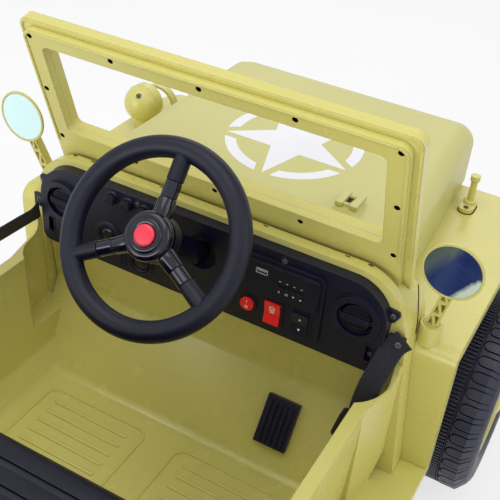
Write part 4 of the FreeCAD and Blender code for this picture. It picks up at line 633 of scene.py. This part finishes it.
module_y = 32.5
socket_x, socket_z, tongue_z = -82.0, 393, 394.1
shell = rounded(14.2, 6.6, 0.9, 3), rounded(12.6, 5.0, 0.5, 3)
make("socket_shell", [hoop(*shell, socket_x, socket_z, 0.6, module_y)], bright_steel)
make("socket_hollow", [plate(rounded(12.8, 5.2, 0.5, 3), socket_x, socket_z, 0.1, module_y)], gloss)
make("socket_tongue", [plate(rounded(10.4, 1.7, 0.3, 2), socket_x, tongue_z, 0.4, module_y)]
     + [plate(rounded(1.2, 0.9, 0.1, 2), -85.9 + 2.6 * i, tongue_z, 0.55, module_y) for i in range(4)],
     bright_steel)
key_x, key_z = [-104.4, -112.9, -121.4, -129.9], 382.4
make("player_keys", [plate(rounded(6.6, 4.2, 2.05), x, key_z, 1.7, module_y) for x in key_x], gloss,
     bevel=0.7)
make("player_key_seats", [hoop(rounded(8.4, 6.0, 2.9), rounded(7.3, 4.9, 2.4), x, key_z, 0.4, module_y)
                          for x in key_x], black)
make("player_groove", [hoop(rounded(85, 42, 3.2), rounded(83.6, 40.6, 2.6), -107.5, 383, 0.3, module_y)],
     gloss)
film = 0.12
power_x, light_x, rocker_x = -67.5, -98.6, -132.5
switch_z, icon_z = 342.0, 374.6
signs = [(bar(0.8, 4.0), power_x, switch_z + 3.4)]
signs += [(arc_band(1.3, 2.0, start, start + 180, 16), power_x, switch_z - 3.6) for start in (0, 180)]
signs += [(arc_band(2.6, 3.6, 0, 180, 14), light_x, switch_z + 6.4), (bar(7.2, 1.0), light_x, switch_z + 5.9)]
signs += [(bar(6.2 - 0.4 * i, 0.8), light_x, switch_z + 3.9 - 1.7 * i) for i in range(3)]
print_on("switch_signs", "switches_red", signs, 1, film)
signs = [([(-1.7, -1.3), (1.7, -1.3), (0, 1.7)], rocker_x, switch_z + 7.0),
         ([(-1.7, 1.3), (0, -1.7), (1.7, 1.3)], rocker_x, switch_z - 7.0)]
signs += [(bar(2.2, 0.55), x, key_z + 6.2) for x in key_x]
signs += [([(-1.5, 1.0), (0, -1.2), (1.5, 1.0)], key_x[2], icon_z),
          ([(-1.5, -1.0), (1.5, -1.0), (0, 1.2)], key_x[3], icon_z),
          (circle(0.6, 10), key_x[1] + 1.0, icon_z - 1.0), (circle(0.6, 10), key_x[1] - 1.2, icon_z - 1.0),
          (bar(0.35, 2.2), key_x[1] + 0.5, icon_z + 0.1), (bar(0.35, 2.2), key_x[1] - 1.7, icon_z + 0.1),
          (bar(2.5, 0.5), key_x[1] - 0.6, icon_z + 1.2), (bar(1.0, 1.2), key_x[0] + 0.9, icon_z),
          ([(-1.2, -0.4), (0.4, -1.4), (0.4, 1.4), (-1.2, 0.4)], key_x[0] - 0.2, icon_z)]
print_on("console_signs", "switch_console", signs, 1, film)


# Vents: inner ledge, pins, fins and flap

vent_x, vent_z, fin_reach = 192.0, 376.0, 15.2
parts = []
for x in (vent_x, -vent_x):
    parts.append(turned([(-10, 20.4), (-10, 18.2), (-2.5, 18.2), (-1.5, 18.8), (-1.5, 20.4)], x, vent_z, 48))
    parts += [plate(rounded(4.4, 5.4, 1.2, 3), x + shift, vent_z, 7.0, dash_y - 6) for shift in (-17.4, 17.4)]
    for offset in (-11.0, -7.0, 7.0, 11.0):
        chord = 2 * sqrt(fin_reach ** 2 - offset ** 2) - 2
        parts.append(plate(rounded(chord, 1.6, 0.7, 3), x, vent_z + offset, 1.1))
    parts.append(plate(rounded(25, 4.6, 1.6, 4), x, vent_z, 1.0, dash_y + 4))
make("vent_details", parts, black_matt, bevel=0.3)


# Dials, knobs and a slider

step = [(1.5, 9.6), (1.5, 10.6), (2.6, 10.9), (3.4, 12.0), (3.4, 12.8), (1.5, 13.4)]
dials, glasses = [], []
for place in ((125.0, 354.0), (79.0, 334.0)):
    dials.append(turned(step, *place, 48))
    dials.append(turned([(0, 17.0), (0, 19.2), (1.2, 18.8), (2.2, 17.4), (2.2, 17.0)], *place, 48))
    glasses.append(turned([(1.5, 9.7), (2.0, 9.5), (2.5, 7.0), (2.8, 3.5), (2.9, 0)], *place, 40))
make("dial_rings", dials, black_matt, smooth=40)
make("dial_glasses", glasses, gloss, smooth=60)
knobs, flutes = [], 14
for x, z in ((118.0, 409.0), (96.0, 408.0), (74.0, 407.0)):
    knobs.append(turned([(0, 6.6), (0, 8.8), (1.0, 8.4), (1.6, 7.2), (1.6, 6.6)], x, z))
    knobs.append(plate(arc_band(2.6, 4.8, 50, 310, 18), x, z, 0.7, dash_y + 9))
    knobs += [turned([(0, 0), (0, 0.7), (6.2, 0.6), (6.4, 0)], *polar(6.5, tau * k / flutes, x, z), 8,
                     dash_y + 2.0) for k in range(flutes)]
make("knob_details", knobs, black)
slider_x = 104
make("dash_slider", [hoop(rounded(9, 15, 2, 4), rounded(6.4, 12.4, 1.2, 4), slider_x, 327, 1.0)]
     + [plate(rounded(6.2, 1.3, 0.5, 3), slider_x, 323.4 + 2.4 * i, 0.8) for i in range(4)], black_matt)


# Steering wheel: sleeves on the spokes, ring round the button, cover of the column

tilt = radians(38.4)
wheel_axis = Vector((0, cos(tilt), sin(tilt)))
wheel_up = Vector((0, -sin(tilt), cos(tilt)))
wheel_centre = Vector((0, 118.6, 452.8))
sleeve = [(60.3, 7.3), (60.3, 8.5), (60.8, 9.0), (80.0, 9.1), (87.0, 9.3), (87.0, 7.3)]
tube = [(42.9, 7.3), (42.9, 8.3), (43.3, 8.7), (59.2, 8.7), (59.7, 8.3), (59.7, 7.3)]
root = [(22.0, 7.3), (22.0, 10.2), (41.4, 9.3), (42.2, 8.8), (42.2, 7.3)]
spokes = [Matrix.Rotation(tau * k / 3, 3, wheel_axis) @ wheel_up for k in range(3)]
make("spoke_sleeves", [lathe(sleeve, wheel_centre, along) for along in spokes], black_matt, "steering")
make("spoke_tubes", [lathe(profile, wheel_centre, along) for along in spokes for profile in (tube, root)],
     gloss, "steering")
ring = [(16.4, 11.25), (18.4, 11.4), (19.0, 12.3), (19.2, 15.6), (18.6, 17.2), (17.3, 17.9), (16.4, 18.0)]
groove = [(6.2, 25.3), (6.4, 26.0), (8.0, 26.0), (8.2, 25.3)]
make("hub_ring", [lathe(profile, wheel_centre, wheel_axis, 64) for profile in (ring, groove)], gloss,
     "steering", smooth=50)
cover = [(13.0, 6.2), (13.0, 20.0), (16.0, 20.6), (19.0, 19.6), (34.0, 16.4), (60.0, 14.6), (116.0, 13.4),
         (118.0, 12.6), (118.0, 6.2)]
make("column_cover", [lathe(cover, wheel_centre, -wheel_axis, 56)], gloss, "steering", smooth=40)
dome = [(19.0, 10.9), (19.9, 10.9), (20.5, 10.2), (21.0, 8.0), (21.2, 4.0), (21.3, 0)]
make("horn_dome", [lathe(dome, wheel_centre, wheel_axis, 48)], red_horn, "steering", smooth=60)


# Door straps: woven webbing on a smooth line, with its buckles

def smooth_line(points, steps=8):
    """Points of a smooth line through given ones."""
    out = []
    for i in range(len(points) - 1):
        p0, p1 = points[max(i - 1, 0)], points[i]
        p2, p3 = points[i + 1], points[min(i + 2, len(points) - 1)]
        for k in range(steps):
            t = k / steps
            out.append(0.5 * ((2 * p1) + (p2 - p0) * t + (2 * p0 - 5 * p1 + 4 * p2 - p3) * t * t
                              + (3 * p1 - p0 - 3 * p2 + p3) * t ** 3))
    out.append(points[-1])
    return out


def strap(points, acrosses, width=25.0, thick=1.9):
    """Webbing along a smooth line; each point has the direction of its width."""
    line = smooth_line([Vector(p) for p in points])
    turns = smooth_line([Vector(a) for a in acrosses])
    half, deep, hem = width / 2, thick / 2, 0.7
    face = (hem - half, -half / 3, half / 3, half - hem)
    section = [(-half, 0)] + [(a, deep) for a in face] + [(half, 0)] + [(a, -deep) for a in reversed(face)]
    verts, faces, marks, run = [], [], [], 0.0
    for i, centre in enumerate(line):
        ahead = (line[min(i + 1, len(line) - 1)] - line[max(i - 1, 0)]).normalized()
        across = (turns[i] - ahead * turns[i].dot(ahead)).normalized()
        out = ahead.cross(across)
        run += (centre - line[i - 1]).length if i else 0.0
        for a, b in section:
            verts.append(centre + across * a + out * b)
            marks.append((a, run))
    count = len(section)
    for i in range(len(line) - 1):
        for k in range(count):
            j = (k + 1) % count
            faces.append([i * count + k, i * count + j, (i + 1) * count + j, (i + 1) * count + k])
    faces += [list(range(count))[::-1], list(range(len(verts) - count, len(verts)))]
    return verts, faces, marks


def taut_z(y):
    """Height of the taut strap's middle, between its anchors at Y 14 and Y 392."""
    return 342.0 + 22.0 * (y - 14.0) / 378.0


strap_x, slack = 239.2, (-0.27, 0, 0.96)
front_run = [((strap_x, y, taut_z(y) - (0 if y < 20 else 2.5)), upward if y < 20 else slack)
             for y in (18, 34, 60, 110, 176)]
rear_run = [((strap_x, y, taut_z(y) - (0 if y > 380 else 2.0)), upward if y > 360 else slack)
            for y in (244, 290, 330, 368, 400)]
hanging = [((-245.4, 20.0, 366.0), (1, 0, 1)), ((-240.5, 20.4, 360.0), (1, 0, 0.95)),
           ((-236.2, 22.0, 353.0), (1, 0, 0.8)), ((-233.0, 28.0, 343.5), (1, 0, 0.55)),
           ((-229.5, 36.0, 328.0), (1, 0, 0.38)), ((-225.0, 40.5, 308.0), (1, 0, 0.28)),
           ((-220.6, 39.5, 282.0), (1, 0, 0.24)), ((-217.4, 34.5, 257.0), (1, 0, 0.22))]
stub = [((-strap_x, y, taut_z(y)), upward) for y in (400, 386, 370, 358)]
runs = [strap(*zip(*run)) for run in (front_run, rear_run, hanging, stub)]
door = make("door_webbing", [run[:2] for run in runs], webbing, smooth=50,
            marks=sum([run[2] for run in runs], []))
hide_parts("door_straps")

stitch = [(-0.3, 0.7), (0.25, 0.55), (0.35, 0)]
stitches = [lathe(stitch, (side * 240.4, y, z), (side, 0, 0), 8) for side in sides for y in (384, 400)
            for z in (356, 360, 364, 368, 372)]
for i in range(6):
    for drop in (0.0, 5.0):
        spot = (-238.5 + 3.6 * i + 0.9 * drop, 38.6 - 0.3 * i, 322.0 - drop + 1.3 * i)
        stitches.append(lathe(stitch, spot, (0, 1, 0.1), 8))
make("strap_stitches", stitches, grey_thread)


def buckle(centre, along, across, length, thick, closed=False, width=36):
    """Side-release buckle: frame, two prongs, cross bars and a middle rib."""
    along, across = Vector(along).normalized(), Vector(across).normalized()
    out = along.cross(across).normalized()
    base = Vector(centre) - out * (thick / 2)
    waist = [(a, b * (0.86 if abs(a) < length * 0.22 else 1.0)) for a, b in rounded(length, width, 6, 6)]
    inner = rounded(length - 13, width - 12, 2.5, 6)
    parts = [collar(waist, inner, base, along, across, thick)]
    parts.append(slab(rounded(length - 10, width * 0.3, 2.5), base + out * 1.2, along, across, thick - 2.4))
    for end in (-1, 1):
        parts.append(slab(rounded(3.4, width - 8, 1.2), base + along * (end * (length / 2 - 9)) + out * 1.0,
                          along, across, thick - 2.0))
        if closed:
            parts.append(slab(rounded(length * 0.4, 3.4, 1.4), base + across * (end * (width / 2 - 7.5))
                              + out * 2.0, along, across, thick - 4.0))
    return parts


pieces = buckle((246, 210, taut_z(210)), rearward, upward, 66, 12, closed=True)
pieces += buckle((-246, 352, taut_z(352)), rearward, upward, 42, 12)
down = Vector((20, 0, -91.5)).normalized()
pieces += buckle(Vector((-217, 36.3, 252)) + down * 22, down, (1, 0, 0.2186), 42, 11)
buckles = make("buckle_frames", pieces, black, bevel=0.9)
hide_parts("buckles")
heads = [screw((237, 17.2, 358), rearward, 4.2, 2.2, 30), screw((-240, 21.4, 358.5), rearward, 3.8, 2.4, 65)]
heads += [screw((side * 240.2, 392, 364), (side, 0, 0), 4.2, 2.2, 15) for side in sides]
make("anchor_screws", heads, screw_steel)


# Wheels: bolts and cap rings

def bolt_spots(radius, x, y):
    """Four places on a bolt circle."""
    return [polar(radius, radians(22.5 + 90 * k), x, y) for k in range(4)]


hub_x = 322.0
cap = [(0, 27.1), (0, 30.2), (1.4, 30.0), (2.4, 28.6), (2.4, 27.1)]
for name, side, y in road_wheels:
    bolts = []
    for bolt_y, bolt_z in bolt_spots(38, y, wheel_z):
        bolts += hex_bolt((side * hub_x, bolt_y, bolt_z), (side, 0, 0), 4.0, 6.4)
    make("wheel_bolts_" + name, bolts, screw_steel, "wheel_" + name)
    make("cap_ring_" + name, [lathe(cap, (side * hub_x, y, wheel_z), (side, 0, 0), 56)], black,
         "wheel_" + name)
bolts = []
for x, z in bolt_spots(42, 0.0, spare_z):
    bolts += hex_bolt((x, 646.0, z), rearward, 4.0, 6.0)
make("spare_bolts", bolts, screw_steel)


# Tyres: capsule-shaped shoulder pads, lands between them, a rib and a notched middle band

def strip_pad(stations, place):
    """Raised pad along the tread; each station has its reach, two bearings, foot and top radius."""
    verts, faces = [], []
    for reach, low, high, foot, top in stations:
        middle = (low + high) / 2
        for bearing, radius in ((low, foot), (low, top), (middle, top), (high, top), (high, foot)):
            verts.append(place(reach, bearing, radius))
    for i in range(len(stations) - 1):
        for k in range(4):
            faces.append([5 * i + k, 5 * i + k + 1, 5 * i + k + 6, 5 * i + k + 5])
    last = 5 * (len(stations) - 1)
    faces += [[4, 3, 2, 1, 0], [last + k for k in range(5)]]
    return verts, faces


def tread_parts(centre, axis, radius, width, bead):
    """Carcass and tread of one tyre; k is its width against a road tyre's."""
    k = width / 98.0
    half, count, notches = width / 2, 42, 168
    u, v, n = frame_of(axis)
    depth = 4.2 * k
    pitch, step = tau / count, tau / notches
    shoulder, edge = half - 15.0 * k, radius - 16.0

    def place(reach, bearing, at_radius):
        return Vector(centre) + n * reach + (u * cos(bearing) + v * sin(bearing)) * at_radius

    def top(reach):
        over = max(0.0, abs(reach) - shoulder)
        return radius - over * 16.0 / (half - shoulder) - 0.008 * over * over

    def capsule(bend, wide, first):
        """Reach and half width of a pad from its round inner end to the tyre's edge."""
        runs = first + [(bend - wide * cos(radians(a)), wide * sin(radians(a)))
                        for a in (8, 24, 42, 62, 90)]
        return runs + [(reach, wide) for reach in (26 * k, shoulder, shoulder + 5 * k, shoulder + 9 * k,
                                                   half - 3.2 * k)]

    waist = bead + (edge - bead) * 0.45
    side = [(shoulder, radius - depth), (half - 5 * k, radius - 13.2), (half - 1.2, edge - 2),
            (half, edge - 6), (half, waist + 6), (half, waist), (half - 1.6, waist - 7), (half - 8, bead)]
    rib = [(9.6 * k, radius - depth), (9.8 * k, radius - 0.2), (10.7 * k, radius - 0.2),
           (10.9 * k, radius - depth)]
    wide, gap = 5.8 * k, 1.9 * k
    bend, outer = 13.9 * k + wide, wide + gap
    pad, land = capsule(bend, wide, []), capsule(bend, outer, [(12.0 * k, 0.0), (bend - outer, 0.0)])
    parts = [lathe([(-a, b) for a, b in reversed(side)] + side, centre, axis, notches)]
    for sign in (-1, 1):
        parts.append(lathe([(sign * a, b) for a, b in rib], centre, axis, notches))
        for i in range(count):
            low = pitch * (i + (0.25 if sign > 0 else 0.75))
            parts.append(strip_pad([(sign * reach, low - w / radius, low + w / radius, top(reach) - 5.0 * k,
                                     top(reach)) for reach, w in pad], place))
            parts.append(strip_pad([(sign * reach, low + w / radius, low + pitch - w / radius,
                                     top(reach) - 5.0 * k, top(reach) - 0.3 * k)
                                    for reach, w in land], place))
    for i in range(notches):
        parts.append(strip_pad([(reach * k, step * (i - 0.29), step * (i + 0.29), radius - depth - 0.4,
                                 radius - 0.5 * k) for reach in (-8.7, 0.0, 8.7)], place))
    return parts


for node, (body, centre, axis, radius, width, bead) in tyres.items():
    tread = make("dressed_" + node, tread_parts(centre, axis, radius, width, bead),
                 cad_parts[node].data.materials[0], body, "tyre", smooth=35)
    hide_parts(node)


# Lamps

lamp_x, lamp_z = 126.0, 340.0
tail_x, tail_z = 192.0, 352.0
dish = [(-368.2, 0), (-368.2, 6), (-369.8, 14), (-373, 21.5), (-376.6, 25.6), (-376.6, 26.4), (-372.6, 22.4),
        (-369.2, 14.6), (-367.6, 6.5), (-367.6, 0)]
bulb = [(-368.0, 0), (-368.0, 5), (-370, 5), (-370.6, 3.4), (-373.4, 3.4), (-375, 2.4), (-375.6, 0)]
tail_rim = [(595, 16.8), (595, 20.8), (600.5, 20.8), (603.4, 19.6), (604.6, 17.4), (604.6, 16.8)]
reflectors, bulbs, rims, rings, ridges = [], [], [], [], []
for side in sides:
    spot, tail = (side * lamp_x, 0, lamp_z), (side * tail_x, 0, tail_z)
    reflectors.append(lathe(dish, spot, rearward, 48))
    bulbs.append(lathe(bulb, spot, rearward, 24))
    for k in range(3):
        x, z = polar(31.6, radians(90 + 120 * k), side * lamp_x, lamp_z)
        rims.append(screw((x, -390.0, z), (0, -1, 0), 2.2, 1.2, 20))
    rings.append(lathe(tail_rim, tail, rearward, 48))
    for radius in (3.0, 6.4, 9.8, 13.2):
        ridge = [(606.9, radius - 0.9), (607.9, radius), (606.9, radius + 0.9)]
        ridges.append(lathe(ridge, tail, rearward, 40))
make("lamp_reflectors", reflectors, bright_steel, smooth=60)
make("lamp_bulbs", bulbs, print_white, slot="clear_lens", smooth=60)
make("lamp_rim_screws", rims, screw_steel)
make("tail_lamp_rims", rings, black)
make("tail_lamp_ridges", ridges, red_lens)
lamp_at = Vector((270.6, -250.0, 374.0))
toward = Vector((-0.22, 0.66, 0.72)).normalized()
# A black cap on the lamp's dome stands for a deep hole that the lamp's shape lacks: painted shade.
make("lamp_hole_painted_shade", [lathe([(26.75, 0), (26.6, 2.4), (26.3, 3.9), (25.6, 4.1)], lamp_at, toward, 28)], gloss)
make("lamp_screw", [screw(lamp_at + toward * 26.2, toward, 2.2, 1.1, 12)], screw_steel)
make("lamp_screw_seat", [lathe([(0, 3.6), (0, 5.0), (0.9, 4.6), (0.9, 3.8), (0, 3.6)],
                               lamp_at + toward * 25.9, toward, 28)], khaki)
make("lamp_seam", [lathe([(-1.2, 26.3), (-1.0, 27.1), (1.0, 27.1), (1.2, 26.3)], lamp_at, rearward, 56)],
     khaki)


# Seam between cowl and fender on each side, a near-black line in the gap: painted shade

seam = ((231.7, -44.0, 391.4), (236.2, -35.9, 385.2), (240.0, -28.3, 378.3), (242.3, -24.2, 372.5),
        (244.5, -21.1, 364.6), (245.6, -19.6, 357.0), (246.5, -18.8, 348.0))
seams = []
for side in sides:
    line = [Vector((side * x, y, z)) for x, y, z in seam]
    for one, two in zip(line, line[1:]):
        length = (two - one).length
        seams.append(lathe([(-0.3, 0), (-0.3, 0.8), (length, 0.8), (length, 0)], one, two - one, 8))
make("cowl_seams", seams, recess)


# Drain slots along the foot of the windscreen

slots = [slab(rounded(5.4, 1.7, 0.8, 4), (side * x, 2.6, 428.75), *level, 0.5)
         for side in sides for x in (67.0, 164.0, 190.0)]
make("drain_slots", slots, gloss)


# Small fittings of hood, fenders and bumper

latch_x, latch_foot = 212, 338
make("latch_screws", [screw((side * latch_x, -306.5, latch_foot + 6), upward, 3.3, 1.6, 20 * side)
                      for side in sides], screw_steel)
# Near-black outlines round the latch plates: painted shadow.
make("latch_shadow_lines", [slab(rounded(22.4, 36.4, 11.0, 10), (side * latch_x, -316, latch_foot - 0.2),
                                 *level, 0.9) for side in sides], recess)
make("latch_collars", [lathe([(6, 4.7), (6, 8.4), (9, 8.4), (10.4, 6.8), (10.4, 4.7)],
                             (side * latch_x, -323, latch_foot), upward, 24) for side in sides], khaki)
catch_z = 413.5 + 60 * 16.5 / 339 + 6.0     # the hood falls 16.5 over its 339 of length
make("catch_slot", [slab(rounded(5, 16, 2), (-118, -108, catch_z - 0.4), *level, 0.8)], black_matt, "hood")
pin = [(-13, 0), (-13, 2.4), (-12.6, 2.8), (12.6, 2.8), (13, 2.4), (13, 0)]
make("catch_pins", [lathe(pin, (-120, y, catch_z + 1.2), (1, 0, 0), 20) for y in (-97, -116)], khaki_hood,
     "hood")
bumper_y, bumper_top = -415.0, 174.0
bolts = []
for x in (-225, -131, 131, 225):
    bolts += hex_bolt((x, bumper_y, bumper_top), upward, 3.6, 6.6)
make("bumper_bolts", bolts, screw_steel)
make("bumper_ribs", [slab(rounded(200, 2.6, 1.2, 4), (0, bumper_y + shift, bumper_top - 0.2), *level, 1.1)
                     for shift in (-5, 0, 5)], black, bevel=0.4)


# Seat: moulded pads on the cushion and the back

pads = [slab(rounded(214, 18, 7, 6), (0, 286 + 26 * k, 262.8), *level, 2.6) for k in range(5)]
back_foot = Vector((0, 434, 263))
back_up = Vector((0, 34, 242)).normalized()
back_out = Vector((1, 0, 0)).cross(back_up)
pads += [slab(rounded(230, 26, 9, 6), back_foot + back_up * (34 + 35 * k) - back_out * 0.2, (1, 0, 0),
              back_up, 2.8) for k in range(6)]
make("seat_pads", pads, black_matt, bevel=1.2, smooth=50)


# Floor pads inside the tub

pad_x, pad_z, pad_rise = 96, 132.8, 1.8
pads = []
for side in sides:
    pads.append(collar(rounded(150, 110, 16, 8), rounded(144, 104, 13, 8), (side * pad_x, 146, pad_z), *level,
                       pad_rise))
    pads += [slab(rounded(112, 5, 2.4, 4), (side * pad_x, 112 + 17 * k, pad_z), *level, pad_rise)
             for k in range(5)]
make("floor_pads", pads, khaki, bevel=0.7, smooth=50)


# Underside: battery terminals, screws and ribs of the gear housings

low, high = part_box("battery")
cx, cy, top = (low.x + high.x) * 500, (low.y + high.y) * 500 + origin_y, high.z * 1000
post = [(0, 0), (0, 6), (1.5, 6), (2, 4), (8, 4), (9, 3.2), (9, 0)]
make("battery_posts", [lathe(post, (cx + side * 48, cy, top), upward, 24) for side in sides], bright_steel)
make("battery_lid", [collar(rounded(144, 92, 6), rounded(134, 82, 4), (cx, cy, top - 0.2), *level, 1.6)],
     case, bevel=0.5)
gear_y, gear_z = 435, 140
heads = [screw((side * 160.0, gear_y + dy, gear_z + dz), (-side, 0, 0), 3.6, 2.0, 30)
         for side in sides for dy in (-36, 36) for dz in (-20, 20)]
ribs = [slab(rounded(46, 4, 1.6, 4), (side * 190.5, gear_y + dy, 104.2), rearward, (1, 0, 0), 1.8)
        for side in sides for dy in (-22, -11, 0, 11, 22)]
make("gear_screws", heads, screw_steel)
make("gear_ribs", ribs, black)


# Stage, lights, camera

def stage():
    """Floor that shows white to the camera and keeps the object's shadow, under a white world."""
    look = Look("pale_floor")
    look.finish(look.blend(look.mottle(0.0, 1.0, 3.0), (246, 246, 246), (250, 250, 250)), 0.9)
    glow = look.node("ShaderNodeEmission", {"Strength": 1.0}).outputs[0]
    look.surface(look.times(look.seen(), 0.72), look.shader.outputs["BSDF"], glow, look.output)
    half = 6.0
    mesh = bpy.data.meshes.new("floor")
    mesh.from_pydata([(*corner, 0) for corner in bar(2 * half, 2 * half)], [], [(0, 1, 2, 3)])
    mesh.materials.append(look.material)
    floor = bpy.data.objects.new("floor", mesh)
    scene.collection.objects.link(floor)
    world = bpy.data.worlds.new("studio")
    scene.world = world
    world.use_nodes = True
    nodes = Nodes(world.node_tree)
    lights = [nodes.node("ShaderNodeBackground", {"Color": colour, "Strength": strength}).outputs[0]
              for colour, strength in (((0.97, 0.98, 1.0, 1.0), 0.60), ((1.0, 1.0, 1.0, 1.0), 1.0))]
    nodes.surface(nodes.seen(), *lights, nodes.node("ShaderNodeOutputWorld"))


def lamp(name, place, target, size, power):
    """Square soft lamp that faces a point."""
    data = bpy.data.lights.new(name, "AREA")
    data.shape = "RECTANGLE"
    data.size, data.size_y = size
    data.energy = power
    obj = bpy.data.objects.new(name, data)
    obj.location = place
    obj.rotation_euler = (Vector(target) - Vector(place)).to_track_quat("-Z", "Y").to_euler()
    scene.collection.objects.link(obj)


stage()
lamp("key", (0.3, 0.3, 2.5), (0.0, -0.1, 0.3), (1.7, 1.5), 17.0)
lamp("rear", (0.5, 2.1, 0.85), (0.0, -0.1, 0.4), (1.9, 1.1), 24.0)
lamp("fill", (-1.9, -0.2, 1.7), (0.0, 0.0, 0.3), (1.4, 1.4), 9.0)
lamp("back", (0.6, -2.2, 1.7), (0.0, -0.2, 0.35), (1.8, 0.8), 6.0)

optics = bpy.data.cameras.new("camera")
optics.sensor_fit = "HORIZONTAL"
optics.sensor_width = 36.0
optics.lens = 62.39
camera = bpy.data.objects.new("camera", optics)
right, up = Vector((-0.8703, -0.4873, 0.0717)), Vector((0.3358, -0.4805, 0.8102))
place = Vector((-0.3969, 0.5832, 0.9493))
turn = Matrix((right, up, right.cross(up))).transposed()
camera.matrix_world = Matrix.Translation(place) @ turn.to_4x4()
scene.collection.objects.link(camera)
scene.camera = camera
scene.view_settings.view_transform = "Standard"
